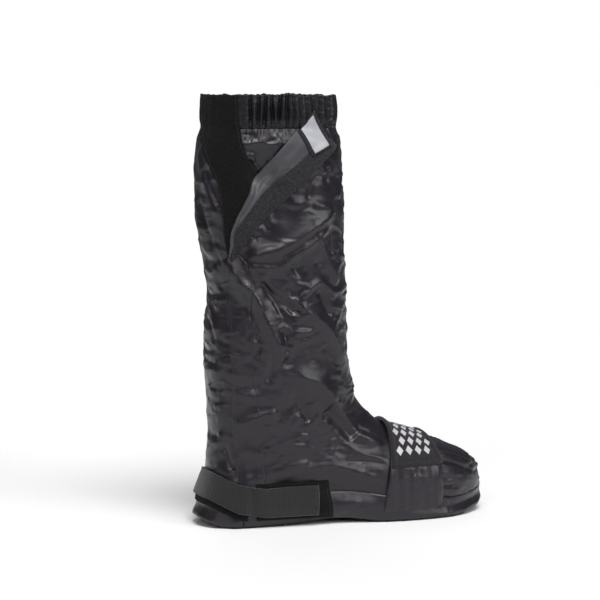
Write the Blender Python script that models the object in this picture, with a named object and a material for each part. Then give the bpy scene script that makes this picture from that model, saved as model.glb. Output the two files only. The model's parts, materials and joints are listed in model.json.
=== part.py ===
"""A right-foot waterproof overboot: a tall coated-nylon cover that is pulled on over a boot and shoe.

The upper is one thin shell lofted through sections of a last, from the collar down the shaft, round the
heel and out to the toe. What is sewn onto it is cut from the same form, a little further out. The frame has
+X towards the toe, +Y towards the inner side of the foot and +Z up. The origin is on the floor, under the
middle of the heel. Everything is in metres.
"""

import math
from collections import namedtuple

import bmesh
import bpy
from mathutils import Vector

# Main sizes of the boot
SOLE_LENGTH = 0.323
BALL_WIDTH = 0.112
HEEL_WIDTH = 0.082
HEEL_SEAT = 0.042
INSTEP_HEIGHT = 0.106
TOE_HEIGHT = 0.060
ANKLE_HEIGHT = 0.125
SHAFT_HEIGHT = 0.452
SHAFT_BACK = 0.0065
CALF_DEPTH = 0.156
CALF_WIDTH = 0.118

# Sole
SOLE_THICKNESS = 0.0030
SOLE_LIP = 0.0015
LUG_DEPTH = 0.0020
LUG_GROOVE = 0.0024
LUG_COLUMNS = 5
LUG_ROWS = 17
ARCH_LIFT = 0.0045
TOE_SPRING = 0.009
HEEL_SPRING = 0.008

# Cloth, tape and webbing
WALL = 0.0012
GAP = 0.0003
RAND_THICKNESS = 0.0012
RAND_HEIGHT = 0.026
RAND_TOE_SHARE = 0.60
LOOP_THICKNESS = 0.0012
CLOTH_THICKNESS = 0.0010
STRAP_THICKNESS = 0.0016
PAD_THICKNESS = 0.0012
PAD_BORDER = 0.0045
PAD_BORDER_RISE = 0.0006
HOOK_THICKNESS = 0.0010
TAB_THICKNESS = 0.0010

# How far out each layer starts from the upper's own surface
FIRST_LAYER = GAP
SECOND_LAYER = FIRST_LAYER + RAND_THICKNESS + GAP
THIRD_LAYER = SECOND_LAYER + CLOTH_THICKNESS + GAP
STRAP_LAYER = SECOND_LAYER + LOOP_THICKNESS + GAP
TAB_LAYER = THIRD_LAYER + HOOK_THICKNESS + GAP

# Collar hem and the sunk gusset beside the loop tape
HEM_HEIGHT = 0.030
HEM_GATHER = 0.0014
GUSSET_DEPTH = 0.007
STRAP_WIDTH = 0.030
STRAP_REACH = 0.374
HEEL_LOOP_BELOW = 0.022
HEEL_LOOP_ABOVE = 0.010
HEEL_LOOP_REACH = 0.092

# Mesh counts of the upper's form
COLUMNS = 40
HALF_TURN = math.pi

Size = namedtuple("Size", "height back front width fullness steps")

# Shaft, from the collar down. Height is a share of the rise from ankle to collar, back and front are shares
# of the calf's depth, and width is a share of the calf's width.
SHAFT = [
    Size(1.000, 0.045, 0.925, 0.86, 2.3, 2),
    Size(0.905, 0.040, 0.925, 0.87, 2.3, 1),
    Size(0.850, 0.000, 0.965, 0.95, 2.3, 2),
    Size(0.725, -0.020, 0.975, 0.99, 2.3, 2),
    Size(0.560, 0.000, 0.980, 1.00, 2.3, 2),
    Size(0.385, 0.070, 1.000, 0.98, 2.3, 2),
    Size(0.260, 0.045, 1.005, 0.97, 2.3, 2),
    Size(0.120, 0.045, 1.015, 0.94, 2.4, 1),
]

Girth = namedtuple("Girth", "back back_rise front front_rise toe width fullness widest steps")

# Foot, from the ankle over the heel to the toe. Back and front are shares of the sole's length. The back
# rises by a share of the ankle's height, and the front by a share of the instep's height or, where toe is 1,
# of the toe's height. Width is a share of the ball's width.
FOOT = [
    Girth(0.050, 1.00, 0.530, 1.330, 0.0, 0.940, 2.4, 0.50, 1),
    Girth(0.052, 0.74, 0.539, 1.255, 0.0, 0.905, 2.4, 0.50, 1),
    Girth(0.046, 0.50, 0.549, 1.190, 0.0, 0.875, 2.4, 0.50, 1),
    Girth(0.035, 0.30, 0.560, 1.135, 0.0, 0.855, 2.5, 0.50, 1),
    Girth(0.014, 0.15, 0.571, 1.090, 0.0, 0.845, 2.8, 0.50, 1),
    Girth(0.030, 0.00, 0.583, 1.050, 0.0, 0.830, 3.6, 0.50, 1),
    Girth(0.110, 0.00, 0.596, 1.015, 0.0, 0.825, 5.0, 0.49, 1),
    Girth(0.230, 0.00, 0.610, 0.985, 0.0, 0.835, 6.0, 0.48, 1),
    Girth(0.350, 0.00, 0.628, 0.925, 0.0, 0.860, 6.5, 0.47, 1),
    Girth(0.460, 0.00, 0.660, 0.862, 0.0, 0.910, 6.5, 0.46, 1),
    Girth(0.560, 0.00, 0.709, 0.808, 0.0, 0.965, 6.5, 0.45, 1),
    Girth(0.655, 0.00, 0.768, 0.738, 0.0, 0.990, 6.5, 0.44, 1),
    Girth(0.750, 0.00, 0.832, 0.680, 0.0, 0.965, 6.0, 0.43, 1),
    Girth(0.832, 0.00, 0.888, 1.110, 1.0, 0.885, 5.0, 0.42, 1),
    Girth(0.898, 0.00, 0.938, 0.975, 1.0, 0.745, 4.0, 0.42, 1),
    Girth(0.945, 0.00, 0.971, 0.790, 1.0, 0.550, 3.2, 0.42, 1),
    Girth(0.975, 0.00, 0.989, 0.560, 1.0, 0.330, 2.6, 0.42, 1),
    Girth(0.990, 0.00, 0.998, 0.360, 1.0, 0.120, 2.2, 0.50, 1),
]

Outline = namedtuple("Outline", "station outer inner")

# Half widths of the sole on the outer and inner side, as shares of half the ball's width.
SOLE_OUTLINE = [
    Outline(0.00, 0.70, 0.70),
    Outline(0.15, 0.715, 0.715),
    Outline(0.36, 0.71, 0.65),
    Outline(0.50, 0.81, 0.71),
    Outline(0.64, 0.955, 0.89),
    Outline(0.75, 0.935, 0.97),
    Outline(0.87, 0.82, 0.95),
    Outline(1.00, 0.62, 0.88),
]
TOE_ROUND = 0.215


def ease(value):
    """0 below 0, 1 above 1 and a smooth step between."""
    value = min(1.0, max(0.0, value))
    return value * value * (3.0 - 2.0 * value)


def blend(a, b, share):
    return a + (b - a) * share


def smooth_row(rows, place):
    """The values at a place between the rows of a table, on a Catmull-Rom curve."""
    last = len(rows) - 1
    low = min(int(place), last - 1)
    t = place - low
    before, start = rows[max(low - 1, 0)], rows[low]
    end, after = rows[low + 1], rows[min(low + 2, last)]
    return [
        0.5 * (2 * q + (r - p) * t + (2 * p - 5 * q + 4 * r - s) * t**2 + (3 * q - p - 3 * r + s) * t**3)
        for p, q, r, s in zip(before, start, end, after)
    ]


def outline_row(station):
    """Outer and inner half width of the sole, before its ends are rounded."""
    share = min(1.0, max(0.0, station / SOLE_LENGTH))
    rows = SOLE_OUTLINE
    low = max(i for i in range(len(rows) - 1) if rows[i].station <= share)
    place = low + (share - rows[low].station) / (rows[low + 1].station - rows[low].station)
    _, outer, inner = smooth_row(rows, place)
    heel = blend(HEEL_WIDTH / BALL_WIDTH / 0.715, 1.0, ease(share / 0.5))
    return outer * heel * BALL_WIDTH / 2, inner * heel * BALL_WIDTH / 2


def foot_middle(station):
    """How far the middle of the foot swings to the inner side at a station."""
    outer, inner = outline_row(station)
    return (inner - outer) / 2


def sole_half_width(station):
    """Half the width of the sole at a distance from the back of the heel."""
    half = sum(outline_row(station)) / 2
    heel_round, toe_round = HEEL_WIDTH / 2, TOE_ROUND * SOLE_LENGTH
    if station < heel_round:
        half *= math.sqrt(max(0.0, 1 - (1 - station / heel_round) ** 2))
    if station > SOLE_LENGTH - toe_round:
        into = (station - SOLE_LENGTH + toe_round) / toe_round
        half *= max(0.0, 1 - min(1.0, into) ** 2.5) ** 0.5
    return half


def sole_rise(station):
    """Lift of the sole off the floor: the heel's curl, the arch and the toe spring."""
    share = station / SOLE_LENGTH
    heel = HEEL_SPRING * max(0.0, 1 - share / 0.09) ** 2
    toe = TOE_SPRING * max(0.0, (share - 0.78) / 0.22) ** 3
    arch = ARCH_LIFT * math.sin(HALF_TURN * min(1.0, max(0.0, (share - 0.28) / 0.33))) ** 2
    return heel + toe + arch


def sole_top(station):
    return LUG_DEPTH + SOLE_THICKNESS + sole_rise(station)


def shaft_section(row):
    """Back point, front point, half width and fullness of one shaft section, as stations and heights."""
    height = blend(ANKLE_HEIGHT, SHAFT_HEIGHT, row.height)
    back = SHAFT_BACK + row.back * CALF_DEPTH
    front = SHAFT_BACK + row.front * CALF_DEPTH
    front_height = height + 0.010 * (1 - row.height) - 0.005 * row.height
    return [back, height, front, front_height, row.width * CALF_WIDTH / 2, row.fullness, row.fullness, 0.5]


def foot_section(row):
    """The same for one girth of the foot."""
    back = row.back * SOLE_LENGTH
    floor = sole_top(back) + GAP
    tallest = TOE_HEIGHT if row.toe else INSTEP_HEIGHT
    rise = row.back_rise * (ANKLE_HEIGHT - floor)
    front_height = sole_top(0.5 * SOLE_LENGTH) + row.front_rise * (tallest - SOLE_THICKNESS)
    return [
        back,
        floor + rise,
        row.front * SOLE_LENGTH,
        front_height,
        row.width * BALL_WIDTH / 2,
        row.fullness,
        2.3,
        row.widest,
    ]


SECTIONS = [shaft_section(row) for row in SHAFT] + [foot_section(row) for row in FOOT]
STEPS = [row.steps for row in SHAFT] + [row.steps for row in FOOT]
PLACES = [i + k / STEPS[i] for i in range(len(SECTIONS) - 1) for k in range(STEPS[i])]
PLACES.append(len(SECTIONS) - 1)


def form_point(place, turn):
    """A point of the upper's outside. Place runs down the sections, and turn runs round one of them: 0 is the
    front or top, a quarter turn is the inner side, and half a turn is the back or bottom."""
    back, back_z, front, front_z, half, low, high, widest = smooth_row(SECTIONS, place)
    middle, middle_z = blend(back, front, widest), blend(back_z, front_z, widest)
    c, s = math.cos(turn), math.sin(turn)
    fullness = high if c > 0 else low
    along = abs(c) ** (2 / fullness)
    across = math.copysign(abs(s) ** (2 / fullness), s)
    end, end_z = (front, front_z) if c > 0 else (back, back_z)
    station = blend(middle, end, along)
    height = blend(middle_z, end_z, along)
    if place > len(SHAFT):
        height = max(height, sole_top(min(SOLE_LENGTH, max(0.0, station))) + GAP)
    return Vector((station - HEEL_SEAT, foot_middle(station) + across * half, height))


Dent = namedtuple("Dent", "turn height wide tall depth")

# Main hollows of the slack cloth. Turn is in degrees round the shaft as in form_point, height and tall are
# shares of the shaft's height, wide is in degrees and depth is a share of the gusset's depth.
DENTS = [
    Dent(252, 0.825, 15, 0.085, 1.00),
    Dent(247, 0.760, 11, 0.070, 0.75),
    Dent(232, 0.620, 16, 0.050, 0.70),
    Dent(300, 0.560, 26, 0.060, 0.45),
    Dent(322, 0.430, 20, 0.090, 0.40),
    Dent(60, 0.560, 40, 0.050, 0.50),
    Dent(100, 0.380, 36, 0.055, 0.45),
]


def dent_depth(turn, height):
    """How far the cloth sinks at a turn and height."""
    degrees = math.degrees(turn) % 360
    share = height / SHAFT_HEIGHT
    sunk = 0.0
    for dent in DENTS:
        reach = math.hypot((degrees - dent.turn) / dent.wide, (share - dent.height) / dent.tall)
        sunk += dent.depth * GUSSET_DEPTH * (1 - ease(reach))
    return sunk


def gather(column, height, turn):
    """In and out ripple of the elastic hem, left flat under the loop tape."""
    degrees = math.degrees(turn) % 360
    if height < SHAFT_HEIGHT - HEM_HEIGHT - 0.012 or 171 < degrees < 238:
        return 0.0
    return HEM_GATHER * (1 if column % 2 else -1)


def form_grid():
    """Rows of points of the upper's outside, with an outward normal for each."""
    turns = [2 * HALF_TURN * column / COLUMNS for column in range(COLUMNS)]
    plain = [[form_point(place, turn) for turn in turns] for place in PLACES]
    rows, last = [], len(plain) - 1
    for i, row in enumerate(plain):
        above, below = plain[max(i - 1, 0)], plain[min(i + 1, last)]
        points = []
        for j, point in enumerate(row):
            around = row[(j + 1) % COLUMNS] - row[j - 1]
            normal = (below[j] - above[j]).cross(around).normalized()
            points.append((point, normal))
        rows.append(points)
    return turns, rows


TURNS, PLAIN_ROWS = form_grid()


def worked_rows():
    """The form with its dents and gathers, keeping the plain form's normals."""
    rows = []
    for row in PLAIN_ROWS:
        points = []
        for j, (point, normal) in enumerate(row):
            out = gather(j, point.z, TURNS[j]) - dent_depth(TURNS[j], point.z)
            points.append((point + out * normal, normal))
        rows.append(points)
    return rows


ROWS = worked_rows()


def grown(lift, first=0, last=None, rows=None):
    """The upper's rows moved out by a lift."""
    rows = (rows or ROWS)[first:last]
    return [[point + lift * normal for point, normal in row] for row in rows]


def clear_scene():
    for obj in list(bpy.data.objects):
        bpy.data.objects.remove(obj)
    for collection in list(bpy.data.collections):
        bpy.data.collections.remove(collection)


def new_collection(name):
    made = bpy.data.collections.new(name)
    bpy.context.scene.collection.children.link(made)
    return made


def finish(name, color, roughness, metallic=0.0):
    """A Principled material with the piece's colour."""
    made = bpy.data.materials.new(name)
    made.use_nodes = True
    shader = made.node_tree.nodes["Principled BSDF"]
    shader.inputs["Base Color"].default_value = (*color, 1.0)
    shader.inputs["Roughness"].default_value = roughness
    shader.inputs["Metallic"].default_value = metallic
    return made


def new_object(name, mesh, collection, material=None):
    made = bpy.data.objects.new(name, mesh)
    collection.objects.link(made)
    if material:
        mesh.materials.append(material)
    return made


def wall_mesh(name, inner_rows, outer_rows, keep=lambda i, j: True, tip=False):
    """A closed wall between two grids of rings. Keep says which cells stand, and tip closes the last ring."""
    build = bmesh.new()
    skins = []
    for rows in (inner_rows, outer_rows):
        skin = [[build.verts.new(point) for point in row] for row in rows]
        skins.append(skin)
    inner, outer = skins
    count = len(inner[0])
    used = {}
    for i in range(len(inner) - 1):
        for j in range(count):
            if not keep(i, j):
                continue
            k = (j + 1) % count
            for skin, flip in ((outer, False), (inner, True)):
                for a, b in (((i + 1, j), (i + 1, k)), ((i + 1, k), (i, k))):
                    corners = (skin[i][j], skin[a[0]][a[1]], skin[b[0]][b[1]])
                    build.faces.new(corners[::-1] if flip else corners)
            corners = [(i, j), (i + 1, j), (i + 1, k), (i, k)]
            for a, b in zip(corners, corners[1:] + corners[:1]):
                used[a, b] = True
    if tip:
        for skin, rows, flip in ((outer, outer_rows, False), (inner, inner_rows, True)):
            ring = skin[-1]
            pole = build.verts.new(sum(rows[-1], Vector()) / count)
            for j in range(count):
                corners = (ring[j], pole, ring[(j + 1) % count])
                build.faces.new(corners[::-1] if flip else corners)
        for j in range(count):
            last = len(inner) - 1
            used[(last, (j + 1) % count), (last, j)] = True
    for a, b in list(used):
        if (b, a) not in used:
            rim = (outer[b[0]][b[1]], outer[a[0]][a[1]], inner[a[0]][a[1]], inner[b[0]][b[1]])
            build.faces.new(rim)
    loose = [vert for vert in build.verts if not vert.link_faces]
    bmesh.ops.delete(build, geom=loose, context="VERTS")
    bmesh.ops.recalc_face_normals(build, faces=build.faces)
    mesh = bpy.data.meshes.new(name)
    build.to_mesh(mesh)
    build.free()
    return mesh


def prism(name, outline, aim=0.0, near=0.0, far=0.25):
    """A cutter drawn as an outline of (across, height), seen from an azimuth, and pushed out towards it from
    near to far. Azimuth 0 looks along +Y at the outer side."""
    turn = math.radians(aim)
    right = Vector((math.cos(turn), math.sin(turn), 0))
    toward = Vector((math.sin(turn), -math.cos(turn), 0))
    build = bmesh.new()
    ends = []
    for depth in (near, far):
        ends.append([build.verts.new(right * u + toward * depth + Vector((0, 0, z))) for u, z in outline])
    build.faces.new(ends[0])
    build.faces.new(ends[1][::-1])
    for a, b, c, d in zip(ends[0], ends[0][1:] + ends[0][:1], ends[1][1:] + ends[1][:1], ends[1]):
        build.faces.new((a, d, c, b))
    bmesh.ops.recalc_face_normals(build, faces=build.faces)
    mesh = bpy.data.meshes.new(name)
    build.to_mesh(mesh)
    build.free()
    made = new_object(name, mesh, CUTTERS)
    made.hide_render = True
    made.display_type = "WIRE"
    return made


def boolean(target, cutter, operation):
    """Cuts or joins now, so that later pieces can start from the result."""
    change = target.modifiers.new(operation.title(), "BOOLEAN")
    change.solver = "MANIFOLD"
    change.operation = operation
    change.object = cutter
    graph = bpy.context.evaluated_depsgraph_get()
    mesh = bpy.data.meshes.new_from_object(target.evaluated_get(graph))
    target.modifiers.clear()
    target.data = mesh
    return target


def off_floor(first):
    """Says which cells of the form aren't under the foot, for rows counted from a first one."""
    floor_row, middle = foot_row(0.03) - first, COLUMNS // 2

    def stands(i, j):
        return i < floor_row or not middle - 4 <= j < middle + 4

    return stands


def overlay(name, lift, thickness, cutter, material, first=0, last=None):
    """A piece sewn onto the upper: the wall between two lifts of its form, kept inside a cutter."""
    inside, outside = grown(lift, first, last), grown(lift + thickness, first, last)
    mesh = wall_mesh(name, inside, outside, keep=off_floor(first), tip=last is None)
    made = new_object(name, mesh, PARTS, material)
    return boolean(made, cutter, "INTERSECT")


def joined_cutter(first, second):
    """Two cutters as one."""
    made = boolean(first, second, "UNION")
    bpy.data.objects.remove(second)
    return made


clear_scene()
PARTS = new_collection("overboot")
CUTTERS = new_collection("cutters")

NYLON = finish("coated_nylon", (0.045, 0.043, 0.050), 0.42)
TAPE = finish("loop_tape", (0.012, 0.012, 0.013), 0.95)
HOOKS = finish("hook_tape", (0.050, 0.050, 0.053), 0.80)
WEBBING = finish("webbing", (0.040, 0.039, 0.042), 0.75)
RUBBER = finish("sole_rubber", (0.030, 0.030, 0.032), 0.70)
PAD = finish("shift_pad_rubber", (0.060, 0.058, 0.062), 0.60)
REFLECTIVE = finish("reflective_cloth", (0.55, 0.55, 0.57), 0.35)


def foot_row(share):
    """Index of the first row of the form whose back point is past a share of the sole's length."""
    start = PLACES.index(len(SHAFT))
    for i in range(start, len(PLACES)):
        back = smooth_row(SECTIONS, PLACES[i])[0]
        if i > start + 4 and back >= share * SOLE_LENGTH:
            return i
    return len(PLACES) - 1


def make_upper():
    """The shaft and foot in one wall, open at the collar and underneath, where the sole closes it."""
    hole_first, hole_last = foot_row(0.10), foot_row(0.93)
    middle, half_hole = COLUMNS // 2, 4

    def stands(i, j):
        under = middle - half_hole <= j < middle + half_hole
        return not (under and hole_first <= i < hole_last)

    mesh = wall_mesh("upper", grown(-WALL), grown(0.0), keep=stands, tip=True)
    return new_object("upper", mesh, PARTS, NYLON)


def make_outsole():
    """A thin plate in the foot's outline, with a block tread under the forefoot and heel."""
    build = bmesh.new()
    ends = [0.004, 0.012, 0.026]
    shares = ends + [0.045 + (0.955 - 0.045) * i / (LUG_ROWS - 1) for i in range(LUG_ROWS)]
    shares += [1 - share for share in reversed(ends)]
    layers = []
    for drop, lip in ((SOLE_THICKNESS, 0.0), (0.0, SOLE_LIP)):
        layer = []
        for share in shares:
            station = share * SOLE_LENGTH
            reach = sole_half_width(station) + lip
            height = sole_top(station) - drop
            row = []
            for k in range(LUG_COLUMNS + 1):
                y = foot_middle(station) + blend(-reach, reach, k / LUG_COLUMNS)
                row.append(build.verts.new((station - HEEL_SEAT, y, height)))
            layer.append(row)
        layers.append(layer)
    low, high = layers
    treads = []
    for i in range(len(shares) - 1):
        for k in range(LUG_COLUMNS):
            build.faces.new((high[i][k], high[i + 1][k], high[i + 1][k + 1], high[i][k + 1]))
            face = build.faces.new((low[i][k + 1], low[i + 1][k + 1], low[i + 1][k], low[i][k]))
            middle = (shares[i] + shares[i + 1]) / 2
            if 0.05 < middle < 0.27 or 0.55 < middle < 0.92:
                treads.append(face)
        build.faces.new((low[i][0], low[i + 1][0], high[i + 1][0], high[i][0]))
        build.faces.new((high[i][-1], high[i + 1][-1], low[i + 1][-1], low[i][-1]))
    for k in range(LUG_COLUMNS):
        build.faces.new((low[0][k], high[0][k], high[0][k + 1], low[0][k + 1]))
        build.faces.new((low[-1][k + 1], high[-1][k + 1], high[-1][k], low[-1][k]))
    build.normal_update()
    bmesh.ops.inset_individual(build, faces=treads, thickness=LUG_GROOVE / 2)
    grown_lugs = bmesh.ops.extrude_discrete_faces(build, faces=treads)
    for face in grown_lugs["faces"]:
        for vert in face.verts:
            station = vert.co.x + HEEL_SEAT
            vert.co.z = sole_rise(station)
    bmesh.ops.recalc_face_normals(build, faces=build.faces)
    mesh = bpy.data.meshes.new("outsole")
    build.to_mesh(mesh)
    build.free()
    return new_object("outsole", mesh, PARTS, RUBBER)


def sole_line(rise, toe_share=1.0, count=26):
    """Points at a rise above the sole's top, as seen from the side. The rise tapers to its toe share."""
    points = []
    for i in range(count + 1):
        share = blend(-0.05, 1.05, i / count)
        station = SOLE_LENGTH * min(1.0, max(0.0, share))
        lift = rise * blend(1.0, toe_share, ease((share - 0.5) / 0.4))
        points.append((share * SOLE_LENGTH - HEEL_SEAT, sole_top(station) + lift))
    return points


def make_rand():
    """The band of cloth that joins the upper to the sole all round."""
    outline = sole_line(2 * GAP) + sole_line(RAND_HEIGHT, RAND_TOE_SHARE)[::-1]
    cutter = prism("rand_cutter", outline, near=-0.2, far=0.2)
    return overlay("rand", FIRST_LAYER, RAND_THICKNESS, cutter, NYLON, first=RAND_ROW)


Edge = namedtuple("Edge", "up rear front")


def edge_outline(rows):
    """An outline from a table of edges. Up is a share of the shaft's height, and rear and front are stations
    as shares of the sole's length."""
    front = [(row.front * SOLE_LENGTH - HEEL_SEAT, row.up * SHAFT_HEIGHT) for row in rows]
    rear = [(row.rear * SOLE_LENGTH - HEEL_SEAT, row.up * SHAFT_HEIGHT) for row in rows]
    return front + rear[::-1]


# The storm flap. Its upper part is turned back over the front, and below the pinch it lies closed.
FLAP_EDGES = [
    Edge(0.912, 0.296, 0.312),
    Edge(0.893, 0.272, 0.440),
    Edge(0.868, 0.248, 0.430),
    Edge(0.822, 0.192, 0.350),
    Edge(0.768, 0.152, 0.266),
    Edge(0.710, 0.110, 0.180),
    Edge(0.655, 0.092, 0.124),
    Edge(0.625, 0.084, 0.132),
    Edge(0.597, 0.079, 0.139),
    Edge(0.460, 0.087, 0.150),
    Edge(0.347, 0.094, 0.156),
    Edge(0.230, 0.101, 0.188),
    Edge(0.128, 0.111, 0.184),
    Edge(0.118, 0.112, 0.166),
    Edge(0.014, 0.131, 0.166),
]

# The stiff hook tape along the free edge of the turned-back flap.
HOOK_EDGES = [
    Edge(0.887, 0.395, 0.437),
    Edge(0.866, 0.350, 0.427),
    Edge(0.815, 0.248, 0.336),
    Edge(0.770, 0.184, 0.268),
    Edge(0.710, 0.118, 0.179),
    Edge(0.668, 0.102, 0.136),
    Edge(0.650, 0.098, 0.120),
]

# The loop tape up the shaft. Rear and front are measured across a view from behind the outer side.
LOOP_AIM = -45
LOOP_EDGES = [
    Edge(0.992, 0.055, 0.214),
    Edge(0.930, 0.070, 0.217),
    Edge(0.872, 0.100, 0.243),
    Edge(0.838, 0.124, 0.258),
    Edge(0.790, 0.158, 0.269),
    Edge(0.720, 0.172, 0.258),
    Edge(0.650, 0.172, 0.242),
]

# The band across the forefoot and the shift pad sewn onto it, as seen from the side.
BAND_EDGES = [
    Edge(0.300, 0.628, 0.754),
    Edge(0.224, 0.624, 0.762),
    Edge(0.125, 0.610, 0.798),
    Edge(0.066, 0.601, 0.803),
    Edge(0.018, 0.593, 0.804),
]
PAD_EDGES = [Edge(0.300, 0.630, 0.752), Edge(0.224, 0.626, 0.760), Edge(0.124, 0.614, 0.794)]

# The heel strap's middle line, as stations and heights, with its ends at the same place on both sides.
Run = namedtuple("Run", "station up")
STRAP_RUN = [
    Run(-0.060, 0.112),
    Run(0.030, 0.100),
    Run(0.110, 0.071),
    Run(0.200, 0.060),
    Run(STRAP_REACH, 0.062),
]
SIDE_PAD = (Edge(0.114, 0.168, 0.412), Edge(0.014, 0.168, 0.428))


def strap_outline(low, high, last):
    """The strap's run from the heel to a last station, between two distances from its middle line."""
    runs = [run for run in STRAP_RUN if run.station < last]
    end = STRAP_RUN[len(runs)]
    share = (last - runs[-1].station) / (end.station - runs[-1].station)
    runs.append(Run(last, blend(runs[-1].up, end.up, share)))
    line = [(run.station * SOLE_LENGTH - HEEL_SEAT, run.up * SHAFT_HEIGHT) for run in runs]
    return [(x, z + high) for x, z in line] + [(x, z + low) for x, z in line[::-1]]


def both_sides(name, outline):
    return prism(name, outline, near=-0.2, far=0.2)


def make_storm_flap():
    cutter = prism("flap_cutter", edge_outline(FLAP_EDGES))
    return overlay("storm_flap", SECOND_LAYER, CLOTH_THICKNESS, cutter, NYLON, first=FLAP_ROW, last=TOE_ROW)


def make_hook_tape():
    cutter = prism("hook_cutter", edge_outline(HOOK_EDGES))
    return overlay("hook_tape", THIRD_LAYER, HOOK_THICKNESS, cutter, HOOKS, first=FLAP_ROW, last=ANKLE_ROW)


def make_pull_tab():
    """The tab at the flap's top corner, with a plain reflective face."""
    outline = [(0.358, 0.960), (0.299, 0.912), (0.345, 0.857), (0.419, 0.880)]
    points = [(station * SOLE_LENGTH - HEEL_SEAT, up * SHAFT_HEIGHT) for station, up in outline]
    cutter = prism("tab_cutter", points)
    return overlay("pull_tab", TAB_LAYER, TAB_THICKNESS, cutter, REFLECTIVE, last=ANKLE_ROW)


def make_loop_tape():
    cutter = prism("loop_cutter", edge_outline(LOOP_EDGES), aim=LOOP_AIM)
    return overlay("loop_tape", FIRST_LAYER, LOOP_THICKNESS, cutter, TAPE, last=ANKLE_ROW)


def make_forefoot_band():
    cutter = both_sides("band_cutter", edge_outline(BAND_EDGES))
    return overlay("forefoot_band", SECOND_LAYER, CLOTH_THICKNESS, cutter, NYLON, *PAD_ROWS)


def make_shift_pad():
    """The rubbed pad over the toes, with a raised border sewn round it."""
    outline = edge_outline(PAD_EDGES)
    thickness = PAD_THICKNESS + PAD_BORDER_RISE
    pad = overlay("shift_pad", THIRD_LAYER, thickness, both_sides("pad_cutter", outline), PAD, *PAD_ROWS)
    in_share, up_share = PAD_BORDER / SOLE_LENGTH, PAD_BORDER / SHAFT_HEIGHT
    inside = [Edge(row.up, row.rear + in_share, row.front - in_share) for row in PAD_EDGES]
    inside[-1] = inside[-1]._replace(up=inside[-1].up + up_share)
    field = both_sides("pad_inside", edge_outline(inside))
    sunk = overlay("pad_field", THIRD_LAYER + PAD_THICKNESS, 4 * PAD_BORDER_RISE, field, PAD, *PAD_ROWS)
    boolean(pad, sunk, "DIFFERENCE")
    bpy.data.objects.remove(sunk)
    return pad


def make_heel_strap():
    half = STRAP_WIDTH / 2
    cutter = both_sides("strap_cutter", strap_outline(-half, half, STRAP_REACH))
    return overlay("heel_strap", STRAP_LAYER, STRAP_THICKNESS, cutter, WEBBING, first=FOOT_ROW, last=TOE_ROW)


def make_heel_loop():
    """Loop tape round the heel, which shows a little under the strap."""
    outline = strap_outline(-HEEL_LOOP_BELOW, HEEL_LOOP_ABOVE, HEEL_LOOP_REACH)
    cutter = both_sides("heel_loop_cutter", outline)
    return overlay("heel_loop", SECOND_LAYER, LOOP_THICKNESS, cutter, TAPE, first=FOOT_ROW, last=TOE_ROW)


def make_side_loop():
    """Loop tape on the outer side, which the strap's end closes on."""
    cutter = prism("side_loop_cutter", edge_outline(SIDE_PAD))
    return overlay("side_loop", SECOND_LAYER, LOOP_THICKNESS, cutter, TAPE, first=FOOT_ROW, last=TOE_ROW)


FOOT_ROW = PLACES.index(len(SHAFT))
RAND_ROW = FOOT_ROW + 1
FLAP_ROW = 1
ANKLE_ROW = FOOT_ROW + 1
TOE_ROW = FOOT_ROW + 14
PAD_ROWS = (FOOT_ROW + 4, FOOT_ROW + 17)


def main():
    make_outsole()
    make_upper()
    make_rand()
    make_loop_tape()
    make_storm_flap()
    make_hook_tape()
    make_pull_tab()
    make_forefoot_band()
    make_shift_pad()
    make_heel_loop()
    make_side_loop()
    make_heel_strap()


main()
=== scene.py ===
# A tall waterproof overboot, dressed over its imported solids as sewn, coated nylon.
# The cloth is moved in code: soft folds are laid on the upper's form in the boot's own millimetres,
# and every tape, flap and strap is then laid on the folded cloth.
import json
import math
import random

import bmesh
import bpy
import numpy as np
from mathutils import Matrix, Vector, noise
from mathutils.bvhtree import BVHTree

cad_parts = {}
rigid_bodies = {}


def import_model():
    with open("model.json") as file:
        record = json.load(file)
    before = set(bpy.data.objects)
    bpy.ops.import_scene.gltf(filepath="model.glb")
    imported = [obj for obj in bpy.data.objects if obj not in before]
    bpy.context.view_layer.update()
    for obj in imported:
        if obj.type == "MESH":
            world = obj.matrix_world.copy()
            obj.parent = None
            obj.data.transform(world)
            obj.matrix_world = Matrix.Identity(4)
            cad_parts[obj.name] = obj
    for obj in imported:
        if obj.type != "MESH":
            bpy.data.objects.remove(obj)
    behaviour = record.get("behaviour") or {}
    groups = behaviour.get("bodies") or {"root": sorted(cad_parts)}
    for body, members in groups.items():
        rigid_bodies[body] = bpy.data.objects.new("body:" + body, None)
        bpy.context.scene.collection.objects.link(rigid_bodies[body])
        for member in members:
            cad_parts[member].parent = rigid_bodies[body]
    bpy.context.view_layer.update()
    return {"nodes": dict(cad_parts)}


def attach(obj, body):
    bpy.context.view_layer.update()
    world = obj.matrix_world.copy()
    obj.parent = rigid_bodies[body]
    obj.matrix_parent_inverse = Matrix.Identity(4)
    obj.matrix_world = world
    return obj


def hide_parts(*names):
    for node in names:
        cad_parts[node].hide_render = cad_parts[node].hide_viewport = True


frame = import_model()
print("frame loaded:", len(frame["nodes"]), "nodes")

mm = 0.001

# helpers


def useOnly(obj=None):
    # selects one object, or nothing, in object mode
    if bpy.context.object and bpy.context.object.mode != "OBJECT":
        bpy.ops.object.mode_set(mode="OBJECT")
    bpy.ops.object.select_all(action="DESELECT")
    if obj:
        obj.select_set(True)
        bpy.context.view_layer.objects.active = obj


def linkNew(name, data):
    made = bpy.data.objects.new(name, data)
    bpy.context.scene.collection.objects.link(made)
    return made


def meshFrom(name, points, faces):
    mesh = bpy.data.meshes.new(name)
    mesh.from_pydata([tuple(p) for p in points], [], faces)
    return linkNew(name, mesh)


def builtFrom(mesh):
    build = bmesh.new()
    build.from_mesh(mesh)
    return build


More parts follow.
